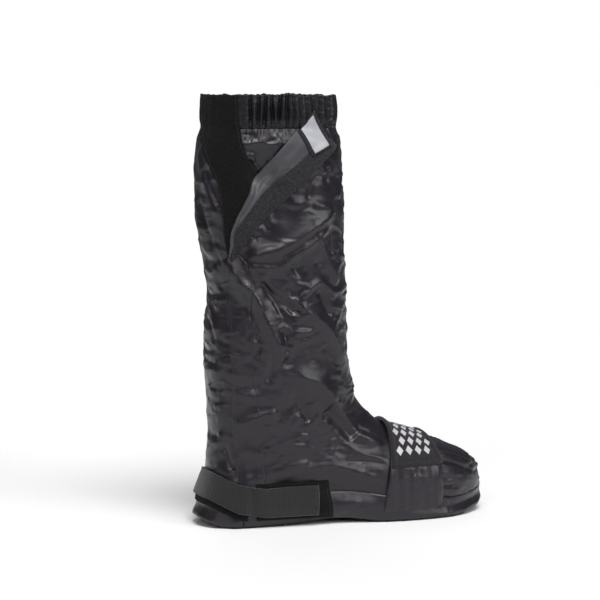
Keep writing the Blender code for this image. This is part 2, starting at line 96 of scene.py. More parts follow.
def linkBuild(name, build):
    mesh = bpy.data.meshes.new(name)
    build.to_mesh(mesh)
    build.free()
    return linkNew(name, mesh)


def applyModifier(obj, kind, **settings):
    useOnly(obj)
    step = obj.modifiers.new(kind.title(), kind)
    for key, value in settings.items():
        setattr(step, key, value)
    bpy.ops.object.modifier_apply(modifier=step.name)


def thicken(obj, thick, side):
    # a wall of some mm, to the outer side (1) or the inner one (-1) of a sheet
    applyModifier(obj, "SOLIDIFY", thickness=thick * mm, offset=side, use_rim=True)


def editMesh(obj, *steps):
    # edit-mode steps on the whole of a mesh, each one an operator's name and its settings
    useOnly(obj)
    bpy.ops.object.mode_set(mode="EDIT")
    bpy.ops.mesh.select_all(action="SELECT")
    for name, settings in steps:
        getattr(bpy.ops.mesh, name)(**settings)
    bpy.ops.object.mode_set(mode="OBJECT")


def faceOutwards(obj):
    editMesh(obj, ("normals_make_consistent", {"inside": False}))


def readRows(items, what):
    # a three-part value of every item in a mesh, as rows
    flat = np.empty(len(items) * 3, np.float32)
    items.foreach_get(what, flat)
    return flat.reshape(-1, 3).astype(float)


def fillGaps(values):
    # unknown values in a row, from the known ones beside them
    known = np.where(~np.isnan(values))[0]
    return np.interp(np.arange(len(values)), known, values[known]) if len(known) else values


def treeFrom(points, faces):
    return BVHTree.FromPolygons([Vector(p) for p in points], faces)


def rise(value):
    # from 0 to 1 with soft ends
    value = np.clip(value, 0.0, 1.0)
    return value * value * (3 - 2 * value)


def bell(gap, half):
    return np.exp(-((gap / half) ** 2))


def walked(line):
    # the distance along a line at each of its points
    return np.concatenate([[0], np.cumsum(np.linalg.norm(np.diff(line, axis=0), axis=1))])


def noiseOn(grid, *stretch):
    return np.array([[noise.noise(Vector(p * stretch)) for p in row] for row in grid])


# camera, floor and light

studio = {
    "cameraAt": (-0.667, -2.326, 0.490),
    "lookAt": (0.0764, 0.0058, 0.2324),
    "lens": 139.4,
    "sensor": 36,
    "sees": (0.05, 60),   # the nearest and furthest it sees, in metres
    "floorHex": "#F4F4F4",
    "floorWide": 3.0,
    "floorUp": -0.0002,   # just under the sole's blocks
    "roomHex": "#FFFFFF",
    "roomSeen": 1.0,      # how bright the room looks
    "roomLight": 0.11,    # how much of its light falls on the boot
    # where each wide soft light comes from, how wide it looks in degrees, and its strength
    "lights": [
        ((-0.1, -0.95, 1.6), 34, 2.6),
        ((-1.1, -1.3, 1.0), 34, 0.6),
        ((0.95, -1.35, 0.8), 34, 1.1),
        ((0.2, 1.7, 1.9), 50, 0.4),
    ],
}


def fromHex(code):
    # an sRGB hex colour as linear values
    parts = [int(code[i : i + 2], 16) / 255 for i in (1, 3, 5)]
    return tuple(p / 12.92 if p <= 0.04045 else ((p + 0.055) / 1.055) ** 2.4 for p in parts) + (1.0,)


def addNode(tree, kind, inputs=None, **settings):
    # one node, its settings, and for each input either a value or the output that feeds it
    node = tree.nodes.new(kind)
    for key, value in settings.items():
        setattr(node, key, value)
    for socket, value in (inputs or {}).items():
        if isinstance(value, bpy.types.NodeSocket):
            tree.links.new(value, node.inputs[socket])
        else:
            node.inputs[socket].default_value = value
    return node


def newMaterial(name, **surface):
    # a Principled surface with the values that are the same all over it
    made = bpy.data.materials.new(name)
    made.use_nodes = True
    tree = made.node_tree
    shader = tree.nodes["Principled BSDF"]
    for socket, value in surface.items():
        shader.inputs[socket.replace("_", " ")].default_value = value
    place = addNode(tree, "ShaderNodeTexCoord")
    return made, tree, shader, place


def lookFrom(obj, target):
    aim = Vector(target) - obj.location
    obj.rotation_euler = aim.to_track_quat("-Z", "Y").to_euler()


def makeStudio():
    lens = bpy.data.cameras.new("camera")
    lens.lens, lens.sensor_width = studio["lens"], studio["sensor"]
    lens.clip_start, lens.clip_end = studio["sees"]
    camera = linkNew("camera", lens)
    camera.location = studio["cameraAt"]
    lookFrom(camera, studio["lookAt"])
    bpy.context.scene.camera = camera

    for i, (place, wide, strength) in enumerate(studio["lights"]):
        data = bpy.data.lights.new(f"softLight{i}", "SUN")
        data.angle, data.energy = math.radians(wide), strength
        light = linkNew(f"softLight{i}", data)
        light.location = place
        lookFrom(light, (0, 0, 0))

    world = bpy.data.worlds.new("paleRoom")
    world.use_nodes = True
    tree = world.node_tree
    room = tree.nodes["Background"]
    room.inputs["Color"].default_value = fromHex(studio["roomHex"])
    path = addNode(tree, "ShaderNodeLightPath")
    # the camera sees the room white, and the boot gets little light from it
    sockets = {"Value": path.outputs["Is Camera Ray"], "To Min": studio["roomLight"], "To Max": studio["roomSeen"]}
    seen = addNode(tree, "ShaderNodeMapRange", sockets)
    tree.links.new(seen.outputs["Result"], room.inputs["Strength"])
    bpy.context.scene.world = world
    bpy.context.scene.view_settings.view_transform = "Standard"

    useOnly()
    bpy.ops.mesh.primitive_plane_add(size=studio["floorWide"], location=(0, 0, studio["floorUp"]))
    floor = bpy.context.active_object
    floor.name = "floor"
    # matt paper
    paper, _, shader, _ = newMaterial("paleFloorPaper", Roughness=0.9)
    shader.inputs["Base Color"].default_value = fromHex(studio["floorHex"])
    floor.data.materials.append(paper)


makeStudio()
print("studio ready")

# finishes

# What each finish is: its two sRGB colours, the sizes in mm that its pattern comes from, the pattern's
# depth in mm, and how rough, fuzzy and glossy it is
finishes = {
    "nylon": {
        "dark": "#100C12", "mid": "#1D1821", "crinkle": 9.0, "weave": 0.9, "rough": 0.34, "sheen": 0.02, "gloss": 0.46,
    },
    # the hem is the same nylon with darker colours: painted shade of its deep gathers
    "hem": {
        "dark": "#08070A", "mid": "#131116", "crinkle": 5.0, "weave": 0.9, "rough": 0.40, "sheen": 0.0, "gloss": 0.40,
    },
    "lining": {
        "dark": "#2A292E", "mid": "#37353B", "crinkle": 10.0, "weave": 0.9, "rough": 0.55, "sheen": 0.25, "gloss": 0.6,
    },
    "loop": {"dark": "#020203", "mid": "#151516", "tuft": 1.3, "deep": 1.0, "rough": 0.95, "sheen": 0.03},
    "hook": {"dark": "#121214", "mid": "#333337", "tuft": 1.5, "deep": 0.6, "rough": 0.95, "sheen": 0.08},
    "webbing": {"dark": "#060507", "mid": "#121013", "rib": 1.9, "thread": 1.3, "deep": 0.5, "rough": 0.72},
    "rubber": {"dark": "#0C0C0D", "mid": "#171719", "grain": 0.9, "deep": 0.2, "rough": 0.62},
    "padCloth": {"dark": "#151317", "mid": "#232126", "tuft": 1.2, "deep": 0.3, "rough": 0.7, "sheen": 0.10},
    "print": {"dark": "#A5A2A8", "mid": "#BFBCC2", "grain": 1.0, "deep": 0.1, "rough": 0.5},
    "beads": {"dark": "#96969C", "mid": "#B4B4BB", "grain": 0.9, "deep": 0.1, "rough": 0.35},
    "thread": {"dark": "#2C2B2E", "mid": "#3E3D41", "tuft": 0.6, "deep": 0.1, "rough": 0.95, "sheen": 0.1},
}


def twoTones(tree, shader, factor, look):
    # the finish's two colours; a Mix node's colour sockets come after its number and vector sockets
    colours = {"Factor": factor, 6: fromHex(look["dark"]), 7: fromHex(look["mid"])}
    mix = addNode(tree, "ShaderNodeMix", colours, data_type="RGBA")
    tree.links.new(mix.outputs[2], shader.inputs["Base Color"])


def mottled(tree, shader, where, look, scale, detail):
    # a slow change between the finish's two colours
    cloud = addNode(tree, "ShaderNodeTexNoise", {"Vector": where, "Scale": scale, "Detail": detail})
    twoTones(tree, shader, cloud.outputs["Fac"], look)


def bumped(tree, shader, height, strength, distance, under=None):
    # relief with its depth in mm, on top of the relief under it
    sockets = {"Height": height, "Strength": strength, "Distance": distance * mm}
    if under:
        sockets["Normal"] = under
    relief = addNode(tree, "ShaderNodeBump", sockets).outputs["Normal"]
    tree.links.new(relief, shader.inputs["Normal"])
    return relief


def coatedCloth(name, look):
    # polyurethane-coated nylon taffeta: close plain weave under a thin film, so it is satin, creases
    # sharply and keeps small crinkles between its folds
    made, tree, shader, place = newMaterial(
        name, Specular_IOR_Level=look["gloss"], Sheen_Weight=look["sheen"], Sheen_Roughness=0.45
    )
    where = place.outputs["Object"]
    mottled(tree, shader, where, look, 22.0, 3.0)
    dull = addNode(tree, "ShaderNodeTexNoise", {"Vector": where, "Scale": 45.0, "Detail": 4.0})
    spread = {"From Min": 0.3, "From Max": 0.7, "To Min": look["rough"] - 0.06, "To Max": look["rough"] + 0.08}
    rough = addNode(tree, "ShaderNodeMapRange", {"Value": dull.outputs["Fac"], **spread})
    tree.links.new(rough.outputs["Result"], shader.inputs["Roughness"])
    # the crinkles run round the boot more than up it
    stretch = addNode(tree, "ShaderNodeMapping", {"Vector": where, "Scale": (1.0, 1.0, 1.9)})
    sockets = {"Scale": 1000 / look["crinkle"] / 2.2, "Detail": 5.0, "Roughness": 0.56, "Distortion": 0.5}
    crinkle = addNode(
        tree,
        "ShaderNodeTexNoise",
        {"Vector": stretch.outputs["Vector"], **sockets},
        noise_type="RIDGED_MULTIFRACTAL",
    )
    fold = bumped(tree, shader, crinkle.outputs["Fac"], 0.55, 1.8)
    # threads 0.15 mm apart are drawn 0.9 mm apart so that they show at this size
    weave = addNode(tree, "ShaderNodeTexVoronoi", {"Vector": where, "Scale": 1000 / look["weave"]})
    bumped(tree, shader, weave.outputs["Distance"], 0.10, 0.2, fold)
    return made


def tapeCloth(name, look):
    # matt cloth or moulded tape: a fine broken surface that scatters what falls on it
    made, tree, shader, place = newMaterial(
        name, Roughness=look["rough"], Specular_IOR_Level=0.15, Sheen_Weight=look["sheen"], Sheen_Roughness=0.6
    )
    sockets = {"Vector": place.outputs["Object"], "Scale": 1000 / look["tuft"], "Detail": 3.0, "Roughness": 0.7}
    tuft = addNode(tree, "ShaderNodeTexNoise", sockets)
    sharp = addNode(tree, "ShaderNodeMapRange", {"Value": tuft.outputs["Fac"], "From Min": 0.36, "From Max": 0.66})
    twoTones(tree, shader, sharp.outputs["Result"], look)
    bumped(tree, shader, sharp.outputs["Result"], 0.7, look["deep"])
    return made


def webbingCloth(name, look):
    # woven polypropylene webbing: ribs across the strap, each broken by its threads
    made, tree, shader, place = newMaterial(
        name, Roughness=look["rough"], Specular_IOR_Level=0.35, Sheen_Weight=0.25, Sheen_Roughness=0.5
    )

    def waves(size, way, **settings):
        sockets = {"Vector": place.outputs["UV"], "Scale": 1000 / size / 6.2832 * 2, **settings}
        return addNode(tree, "ShaderNodeTexWave", sockets, wave_type="BANDS", bands_direction=way).outputs["Fac"]

    ribs = waves(look["rib"], "X", Distortion=1.2, Detail=2.0, **{"Detail Scale": 3.0})
    threads = waves(look["thread"], "Y", Distortion=0.6)
    both = addNode(tree, "ShaderNodeMath", {0: ribs, 1: threads}, operation="MULTIPLY")
    twoTones(tree, shader, both.outputs["Value"], look)
    bumped(tree, shader, both.outputs["Value"], 0.9, look["deep"])
    return made


def mouldedRubber(name, look):
    # moulded or printed rubber: dull, a little dusty, with a fine pebble
    made, tree, shader, place = newMaterial(name, Roughness=look["rough"], Specular_IOR_Level=0.4)
    where = place.outputs["Object"]
    mottled(tree, shader, where, look, 60.0, 4.0)
    pebble = addNode(tree, "ShaderNodeTexVoronoi", {"Vector": where, "Scale": 1000 / look["grain"]})
    bumped(tree, shader, pebble.outputs["Distance"], 0.4, look["deep"])
    return made


nylon = coatedCloth("coatedNylonTaffeta", finishes["nylon"])
# the hem's darker colours are painted shade of its gathers, on the same nylon
hemNylonPaintedShade = coatedCloth("gatheredNylonHemPaintedShade", finishes["hem"])
lining = coatedCloth("coatedNylonInnerFace", finishes["lining"])
loopCloth = tapeCloth("brushedNylonLoopTape", finishes["loop"])
hookCloth = tapeCloth("mouldedNylonHookTape", finishes["hook"])
webbing = webbingCloth("wovenPolypropyleneWebbing", finishes["webbing"])
soleRubber = mouldedRubber("mouldedBlackRubber", finishes["rubber"])
padCloth = tapeCloth("rubberisedPolyesterPad", finishes["padCloth"])
whitePrint = mouldedRubber("mouldedWhiteRubber", finishes["print"])
reflective = mouldedRubber("glassBeadReflectiveTape", finishes["beads"])
thread = tapeCloth("spunPolyesterThread", finishes["thread"])
print("finishes ready")

# the upper's cloth

upperLook = {
    "wall": 1.0,          # mm of cloth in the render
    "hemFrom": 424.0,     # mm, the upper is cut here and the hem takes over
    "crinkle": 1.35,      # mm of small uneven slackness
    "innerSeam": 4.0,     # mm, front and back panels meet here on the inner side, under the seam's strip
    # on the outer side they meet under the loop tape, (up, across from 45 degrees), and under the flap,
    # (up, across), and change from one to the other at the pinch
    "pinch": 284,
    "underTape": [
        (284, 22.5), (302, 23.0), (325, 27.5), (357, 26.0), (379, 19.7), (394, 12.5), (420, 4.2), (449, 1.2),
    ],
    "underFlap": [
        (10, 7.8), (35, 8.5), (58, 7.7), (104, 4.6), (157, -1.5), (208, -4.0), (270, -8.0), (284, -13.0),
    ],
}


def relax(values, edges, fixed, rounds, share=0.5):
    # moves each value towards the mean of its neighbours
    counts = np.zeros(len(values))
    np.add.at(counts, edges[:, 0], 1)
    np.add.at(counts, edges[:, 1], 1)
    counts = np.maximum(counts, 1)[:, None]
    free = ~fixed
    for _ in range(rounds):
        total = np.zeros_like(values)
        np.add.at(total, edges[:, 0], values[edges[:, 1]])
        np.add.at(total, edges[:, 1], values[edges[:, 0]])
        values[free] += share * (total / counts - values)[free]
    return values


skinLook = {
    "probe": 0.0003,      # a look for the other side of the wall starts this far off a face
    "shaftFrom": 0.2,     # metres up, above which the middle of the leg tells outside from inside
    "legMiddle": 0.04,
    "rimFrom": 0.44,
    # the foot is open underneath, so its inner face looks down and out past the sole, and a line along
    # the middle of the foot tells outside from inside
    "footFrom": 0.09, "footUnder": 0.135, "footEnd": 0.245, "footLine": (0.003, 0.022),
    "tall": 0.014,        # edges longer than this up the leg are halved
}


def onOuterFace(middle, out):
    look = skinLook
    if middle.x > look["footFrom"] and middle.z < look["footUnder"]:
        return out.dot(middle - Vector((min(middle.x, look["footEnd"]), *look["footLine"]))) > 0
    if middle.z > look["rimFrom"] and out.z > 0.7:
        return False
    return middle.z <= look["shaftFrom"] or out.dot(Vector((middle.x - look["legMiddle"], middle.y, 0))) > 0


def openSkin():
    # the upper solid's outer face as one open sheet of small squares
    build = builtFrom(frame["nodes"]["upper"].data)
    bmesh.ops.remove_doubles(build, verts=build.verts, dist=1e-5)
    build.normal_update()
    tree = BVHTree.FromBMesh(build)
    inner = []
    for face in build.faces:
        middle, out = face.calc_center_median(), face.normal
        blocked = tree.ray_cast(middle + out * skinLook["probe"], out)[0] is not None
        if blocked or not onOuterFace(middle, out):
            inner.append(face)
    bmesh.ops.delete(build, geom=inner, context="FACES")
    bmesh.ops.delete(build, geom=[vert for vert in build.verts if not vert.link_faces], context="VERTS")
    bmesh.ops.join_triangles(build, faces=build.faces, angle_face_threshold=1.2, angle_shape_threshold=1.4)
    tall = []
    for edge in build.edges:
        long, climb = edge.calc_length(), abs(edge.verts[0].co.z - edge.verts[1].co.z)
        if long > skinLook["tall"] and climb > 0.6 * long:
            tall.append(edge)
    bmesh.ops.subdivide_edges(build, edges=tall, cuts=1, use_grid_fill=True)
    skin = linkBuild("skin", build)
    applyModifier(skin, "SUBSURF", levels=1, render_levels=1)
    build = builtFrom(skin.data)
    bmesh.ops.subdivide_edges(build, edges=build.edges, cuts=2, use_grid_fill=True)
    odd = sum(len(face.verts) != 4 for face in build.faces)
    print("skin:", len(build.faces), "faces,", odd, "not squares")
    onEdge = np.array([vert.is_boundary for vert in build.verts])
    build.to_mesh(skin.data)
    build.free()
    return skin, onEdge


skin, skinFixed = openSkin()
skinEdges = np.array([edge.vertices[:] for edge in skin.data.edges])
skinFaces = [face.vertices[:] for face in skin.data.polygons]
skinAt = relax(readRows(skin.data.vertices, "co"), skinEdges, skinFixed, 5)
skin.data.vertices.foreach_set("co", skinAt.ravel())
skin.data.update()
skinOut = relax(readRows(skin.data.vertex_normals, "vector"), skinEdges, np.zeros(len(skinAt), bool), 6)
skinOut /= np.linalg.norm(skinOut, axis=1)[:, None]
formTree = treeFrom(skinAt, skinFaces)
print("form ready")


def viewAxes(azimuth):
    # right and towards the viewer, for a level view from an azimuth
    turn = math.radians(azimuth)
    return Vector((math.cos(turn), math.sin(turn), 0)), Vector((math.sin(turn), -math.cos(turn), 0))


def onForm(azimuth, across, up, tree):
    # where a level line of sight meets a surface, with across and up in metres
    right, toward = viewAxes(azimuth)
    start = right * across + toward * 0.5 + Vector((0, 0, up))
    return tree.ray_cast(start, -toward)


def smoothLine(points, step):
    # a Catmull-Rom curve through the points, with even steps
    points = [np.array(p, float) for p in points]
    rows = [points[0]] + points + [points[-1]]
    out = []
    for a, b, c, d in zip(rows, rows[1:], rows[2:], rows[3:]):
        count = max(2, int(np.linalg.norm(c - b) / step))
        for k in range(count):
            t = k / count
            bend, twist = 2 * a - 5 * b + 4 * c - d, 3 * b - a - 3 * c + d
            out.append(0.5 * (2 * b + (c - a) * t + bend * t**2 + twist * t**3))
    out.append(points[-1])
    return np.array(out)


# The folds, as seen from an azimuth: how far each stands out or sinks in mm, its half width in mm, and its
# run as (across, up) in mm.
folds = {
    -16: [
        # behind the loop tape
        (3.6, 4.2, [(-32, 397), (-30, 373), (-23, 349), (-15, 331), (-8, 322)]),
        (-3.4, 3.4, [(-28, 376), (-20, 352), (-12, 334)]),
        (1.6, 2.4, [(-33, 407), (-25, 382), (-14, 359)]),
        (-2.4, 3.2, [(-33, 343), (-30, 327), (-24, 309), (-20, 300)]),
        (3.6, 4.0, [(-37, 350), (-33, 319), (-28, 293), (-21, 286), (-11, 292)]),
        (-1.8, 2.4, [(-23, 297), (-13, 299)]),
        (-3.0, 2.8, [(-29, 281), (-21, 281), (-12, 285)]),
        (2.6, 3.2, [(-28, 270), (-21, 266), (-16, 273)]),
        # under the collar, between the tape and the turned-back flap
        (1.2, 2.0, [(12, 399), (26, 402), (37, 400), (51, 396)]),
        (-5.8, 13.0, [(18, 366), (30, 368), (46, 375)]),
        (-2.4, 5.0, [(26, 384), (23, 368), (18, 350)]),
        (2.4, 2.0, [(19, 392), (23, 382), (28, 371)]),
        (1.8, 2.6, [(37, 421), (45, 412), (52, 402)]),
        (-1.6, 2.0, [(45, 414), (55, 401)]),
        # in front of the flap, up the shin
        (-2.0, 3.0, [(92, 371), (83, 360), (79, 342)]),
        (2.0, 3.4, [(105, 384), (112, 364), (110, 341)]),
        (-1.8, 2.6, [(100, 376), (98, 358)]),
        (1.6, 3.0, [(83, 339), (94, 335), (105, 329)]),
        # the broad fold that swings up from the pinch
        (5.6, 5.4, [(14, 281), (25, 287), (44, 291), (60, 297), (77, 309), (94, 322), (108, 333)]),
        (-2.2, 2.4, [(50, 286), (64, 293), (80, 305), (88, 313)]),
        (2.6, 3.0, [(20, 277), (37, 273), (49, 274), (64, 285), (81, 297), (100, 314)]),
        (-1.6, 2.4, [(43, 338), (44, 321)]),
        (-1.6, 2.6, [(32, 323), (37, 310)]),
        (-2.2, 3.0, [(19, 310), (26, 300)]),
        (-2.6, 7.0, [(62, 270), (69, 274), (75, 276)]),
        (2.4, 3.2, [(88, 305), (99, 280), (109, 254)]),
        (-1.8, 2.6, [(101, 314), (103, 284)]),
        # the folds that run down from the pinch to the instep
        (1.6, 3.6, [(-2, 282), (9, 262), (24, 245), (31, 228)]),
        (5.2, 5.4, [(-2, 284), (9, 262), (24, 245), (31, 228), (39, 211), (49, 190), (58, 177)]),
        (-3.2, 2.6, [(53, 177), (60, 171)]),
        (5.4, 5.0, [(60, 170), (74, 158), (89, 152), (101, 138), (111, 120), (127, 97), (145, 87), (163, 81)]),
        (4.2, 4.0, [
            (4, 284), (18, 277), (33, 261), (49, 247), (64, 238),
            (80, 225), (96, 212), (105, 197), (115, 174), (122, 158),
        ]),
        (-5.0, 3.4, [(28, 260), (49, 241), (61, 231), (71, 227)]),
        (1.6, 1.4, [(52, 234), (59, 225), (69, 221), (78, 225)]),
        (-2.6, 2.4, [(31, 258), (44, 235), (55, 211)]),
        (1.8, 2.4, [(38, 244), (50, 221), (60, 203)]),
        (2.0, 2.6, [(2, 272), (6, 255), (18, 235)]),
        (-2.8, 3.0, [(13, 240), (20, 223), (25, 206), (27, 190), (24, 178)]),
        (-2.8, 3.0, [(41, 192), (41, 171), (36, 154)]),
        (-2.8, 2.8, [(54, 211), (56, 184)]),
        (1.8, 1.8, [(58, 204), (68, 196)]),
        (-2.4, 2.2, [(1, 150), (13, 151), (22, 149), (29, 157)]),
        (1.2, 1.6, [(0, 131), (12, 128)]),
        (3.2, 2.8, [(2, 112), (11, 111), (23, 116), (35, 121), (48, 122)]),
        (1.4, 1.8, [(48, 113), (62, 108), (67, 117)]),
        (2.6, 2.8, [(69, 241), (77, 247), (84, 254), (91, 257), (98, 251), (109, 242)]),
        (-2.6, 3.4, [(90, 248), (96, 233), (101, 219)]),
        (-2.2, 4.0, [(58, 256), (62, 241)]),
        (1.8, 2.6, [(96, 280), (104, 265), (109, 253)]),
        (-2.9, 3.0, [(64, 143), (70, 129), (81, 110)]),
        (-4.6, 3.6, [(96, 123), (109, 112), (118, 101), (128, 89)]),
        (1.4, 3.6, [(86, 119), (96, 110), (104, 104)]),
        (1.5, 3.0, [(107, 100), (120, 84), (137, 73), (162, 68)]),
        (1.2, 3.0, [(124, 114), (135, 102), (149, 96)]),
        (-1.4, 2.6, [(129, 99), (145, 92), (161, 86)]),
        (-1.4, 2.6, [(118, 66), (141, 66), (162, 62)]),
        # over the strap and the foot's side
        (-5.0, 5.0, [(33, 42), (49, 41), (63, 40), (88, 38), (102, 38), (119, 36), (141, 33), (162, 28)]),
        (2.0, 4.4, [(34, 60), (63, 59), (100, 63), (127, 57), (162, 43)]),
        # small crumples behind the flap
        (2.2, 2.6, [(-27, 166), (-16, 164), (-22, 156)]),
        (2.4, 2.8, [(-25, 149), (-20, 140), (-12, 141)]),
        (2.2, 2.6, [(-20, 127), (-11, 124), (-15, 109)]),
        (2.2, 2.8, [(-27, 79), (-17, 89), (-9, 89)]),
        (-2.0, 2.4, [(-29, 174), (-18, 171)]),
        (-2.2, 2.6, [(-17, 138), (-9, 150)]),
        (-2.0, 2.4, [(-26, 131), (-15, 133)]),
        (-1.8, 2.4, [(-26, 98), (-15, 93)]),
        (-2.4, 2.6, [(-9, 87), (-4, 73), (0, 60)]),
        (2.0, 2.4, [(-16, 228), (-14, 240), (-12, 252)]),
        (1.6, 2.4, [(-30, 238), (-22, 226), (-17, 206)]),
        (-1.6, 2.2, [(-30, 222), (-22, 210), (-19, 192)]),
        # toe, in front of the band
        (-2.4, 2.2, [(219, 62), (238, 57), (258, 46)]),
        (1.8, 2.0, [(219, 67), (235, 64), (254, 55)]),
        (-1.6, 1.8, [(222, 44), (234, 41)]),
        (-1.8, 1.8, [(222, 35), (239, 34)]),
        (-1.6, 1.8, [(224, 23), (244, 19), (263, 16)]),
        (-1.6, 2.0, [(247, 29), (267, 17)]),
    ],
    # the inner side, the back and the front, which the photograph doesn't show
    180: [
        (2.6, 4.0, [(-96, 392), (-70, 372), (-40, 340), (-10, 322), (18, 318)]),
        (-2.6, 3.4, [(-98, 374), (-72, 354), (-44, 326), (-18, 310)]),
        (2.0, 3.2, [(-60, 402), (-34, 386), (-8, 376), (16, 380)]),
        (-1.8, 2.8, [(-28, 404), (-6, 392), (18, 394)]),
        (3.4, 4.2, [(-104, 322), (-78, 300), (-48, 286), (-16, 282), (14, 290)]),
        (-2.8, 3.0, [(-100, 302), (-74, 284), (-44, 272), (-14, 270)]),
        (2.2, 3.0, [(-84, 270), (-58, 262), (-34, 250), (-12, 232)]),
        (3.2, 4.0, [(22, 286), (-2, 262), (-24, 232), (-44, 200), (-64, 172), (-88, 150)]),
        (-2.4, 2.8, [(14, 258), (-6, 236), (-24, 210), (-38, 184)]),
        (2.4, 3.2, [(-108, 250), (-92, 226), (-70, 208), (-48, 200)]),
        (-2.2, 2.8, [(-106, 232), (-88, 210), (-70, 196)]),
        (2.0, 2.6, [(24, 226), (8, 208), (-6, 186), (-12, 164)]),
        (-1.8, 2.2, [(28, 206), (12, 190), (2, 170)]),
        (3.4, 4.0, [(-60, 170), (-82, 148), (-104, 124), (-130, 98), (-158, 84)]),
        (-3.0, 3.2, [(-74, 136), (-94, 116), (-114, 98), (-140, 84)]),
        (2.4, 3.4, [(-30, 150), (-56, 128), (-82, 106), (-108, 86), (-140, 70)]),
        (-1.8, 2.4, [(-34, 128), (-54, 110), (-72, 96)]),
        (2.0, 2.8, [(18, 150), (-2, 136), (-24, 128), (-44, 128)]),
        (-1.8, 2.4, [(22, 132), (2, 120), (-18, 114)]),
        (2.0, 2.6, [(20, 104), (-4, 98), (-28, 100)]),
        (-3.6, 3.6, [(-44, 50), (-70, 52), (-98, 54), (-124, 46), (-152, 36)]),
        (2.4, 3.8, [(-40, 64), (-70, 64), (-100, 68), (-132, 56)]),
        (-2.0, 2.2, [(-222, 56), (-238, 50), (-256, 40)]),
        (1.6, 2.0, [(-222, 62), (-240, 56), (-254, 48)]),
        (-1.6, 1.8, [(-226, 36), (-242, 32), (-258, 24)]),
    ],
    -90: [
        (2.2, 3.2, [(-24, 382), (-4, 366), (20, 360), (36, 368)]),
        (-2.2, 3.0, [(-20, 362), (2, 350), (24, 348)]),
        (2.4, 3.4, [(-30, 330), (-6, 318), (18, 312), (38, 318)]),
        (-2.2, 3.0, [(-22, 306), (0, 300), (26, 300)]),
        (2.4, 3.2, [(-22, 268), (0, 256), (24, 256)]),
        (-2.4, 2.8, [(-20, 250), (4, 242), (26, 246)]),
        (2.0, 2.8, [(-18, 214), (4, 206), (28, 210)]),
        (-2.2, 2.6, [(-22, 190), (2, 184), (24, 188)]),
        (2.2, 2.8, [(-20, 170), (2, 162), (26, 170)]),
        (-2.0, 2.4, [(-16, 146), (4, 142), (24, 148)]),
        (2.2, 2.6, [(-24, 122), (0, 112), (24, 120)]),
        (-2.2, 2.6, [(-20, 100), (2, 94), (22, 100)]),
        (1.8, 2.6, [(-22, 76), (0, 70), (22, 76)]),
    ],
    90: [
        (2.2, 3.4, [(-30, 352), (-8, 338), (16, 334), (36, 346)]),
        (-2.0, 3.0, [(-24, 326), (0, 318), (24, 322)]),
        (2.6, 3.6, [(-38, 338), (-20, 316), (6, 300), (34, 296)]),
        (-2.4, 3.2, [(-30, 286), (-4, 276), (26, 276)]),
        (2.6, 3.4, [(-34, 254), (-10, 246), (16, 250), (36, 262)]),
        (-2.4, 3.0, [(-24, 232), (0, 224), (22, 230)]),
        (2.4, 3.2, [(-28, 206), (-4, 194), (20, 196), (34, 206)]),
        (-2.4, 2.8, [(-24, 178), (0, 170), (22, 176)]),
        (2.4, 2.8, [(-26, 152), (0, 144), (24, 150)]),
        (-2.2, 2.4, [(-22, 134), (0, 128), (22, 134)]),
        (2.0, 2.4, [(-28, 118), (0, 112), (26, 118)]),
        (-2.0, 2.2, [(-24, 102), (0, 98), (24, 102)]),
    ],
}


foldLook = {
    "gain": 1.25,
    "steepest": 0.78,     # rise over run of a high fold's sides
    "high": 3,            # mm, folds from here on are kept from getting too steep
    # the folds seen from behind and from the front are laid lower
    "sideGain": {-16: 1.0, 180: 1.0, -90: 0.55, 90: 0.6},
    "soft": 0.32,         # how round a fold's top is
    "reach": 5,           # half widths, where a fold has died away
    "step": 1.4,          # mm between the points along it
}


def foldHeights(points):
    # how far every fold moves each point, in metres
    look, total = foldLook, np.zeros(len(points))
    soft, reach = look["soft"], look["reach"]
    for azimuth, runs in folds.items():
        for height, width, path in runs:
            hits = [onForm(azimuth, across * mm, up * mm, formTree)[0] for across, up in smoothLine(path, look["step"])]
            line = np.array([hit[:] for hit in hits if hit is not None])
            if len(line) < 4:
                continue
            if abs(height) >= look["high"]:
                width = max(1.2 * width, look["gain"] * abs(height) * 1.15 / look["steepest"])
            low, high = line.min(0) - reach * width * mm, line.max(0) + reach * width * mm
            near = np.where(((points > low) & (points < high)).all(1))[0]
            if not len(near):
                continue
            gaps = np.linalg.norm(points[near][:, None, :] - line[None], axis=2)
            nearest = gaps.argmin(1)
            gap = gaps[np.arange(len(near)), nearest] / (width * mm)
            along = nearest / (len(line) - 1)
            ends = rise(np.minimum(along, 1 - along) / 0.18 + 0.12)
            shape = np.exp(-(np.sqrt(gap * gap + soft * soft) - soft) * 1.15) * rise((reach - gap) / 2)
            total[near] += look["gain"] * look["sideGain"][azimuth] * height * mm * ends * shape
    return total


def crinkles(points):
    # uneven slackness between the folds, a little longer round the boot than up it
    out = np.zeros(len(points))
    for i, (x, y, z) in enumerate(points):
        broad = noise.noise(Vector((x * 26, y * 26, z * 44)))
        fine = noise.noise(Vector((x * 62 + 7, y * 62, z * 105)))
        out[i] = 0.9 * (0.5 - abs(broad) * 1.6) + 0.55 * (0.45 - abs(fine) * 1.7)
    return out


# how many small creases there are, and the ranges of their length, height and half width in mm
creases = {"count": 420, "seed": 11, "long": (14, 42), "height": (0.6, 1.9), "width": (1.7, 2.8)}


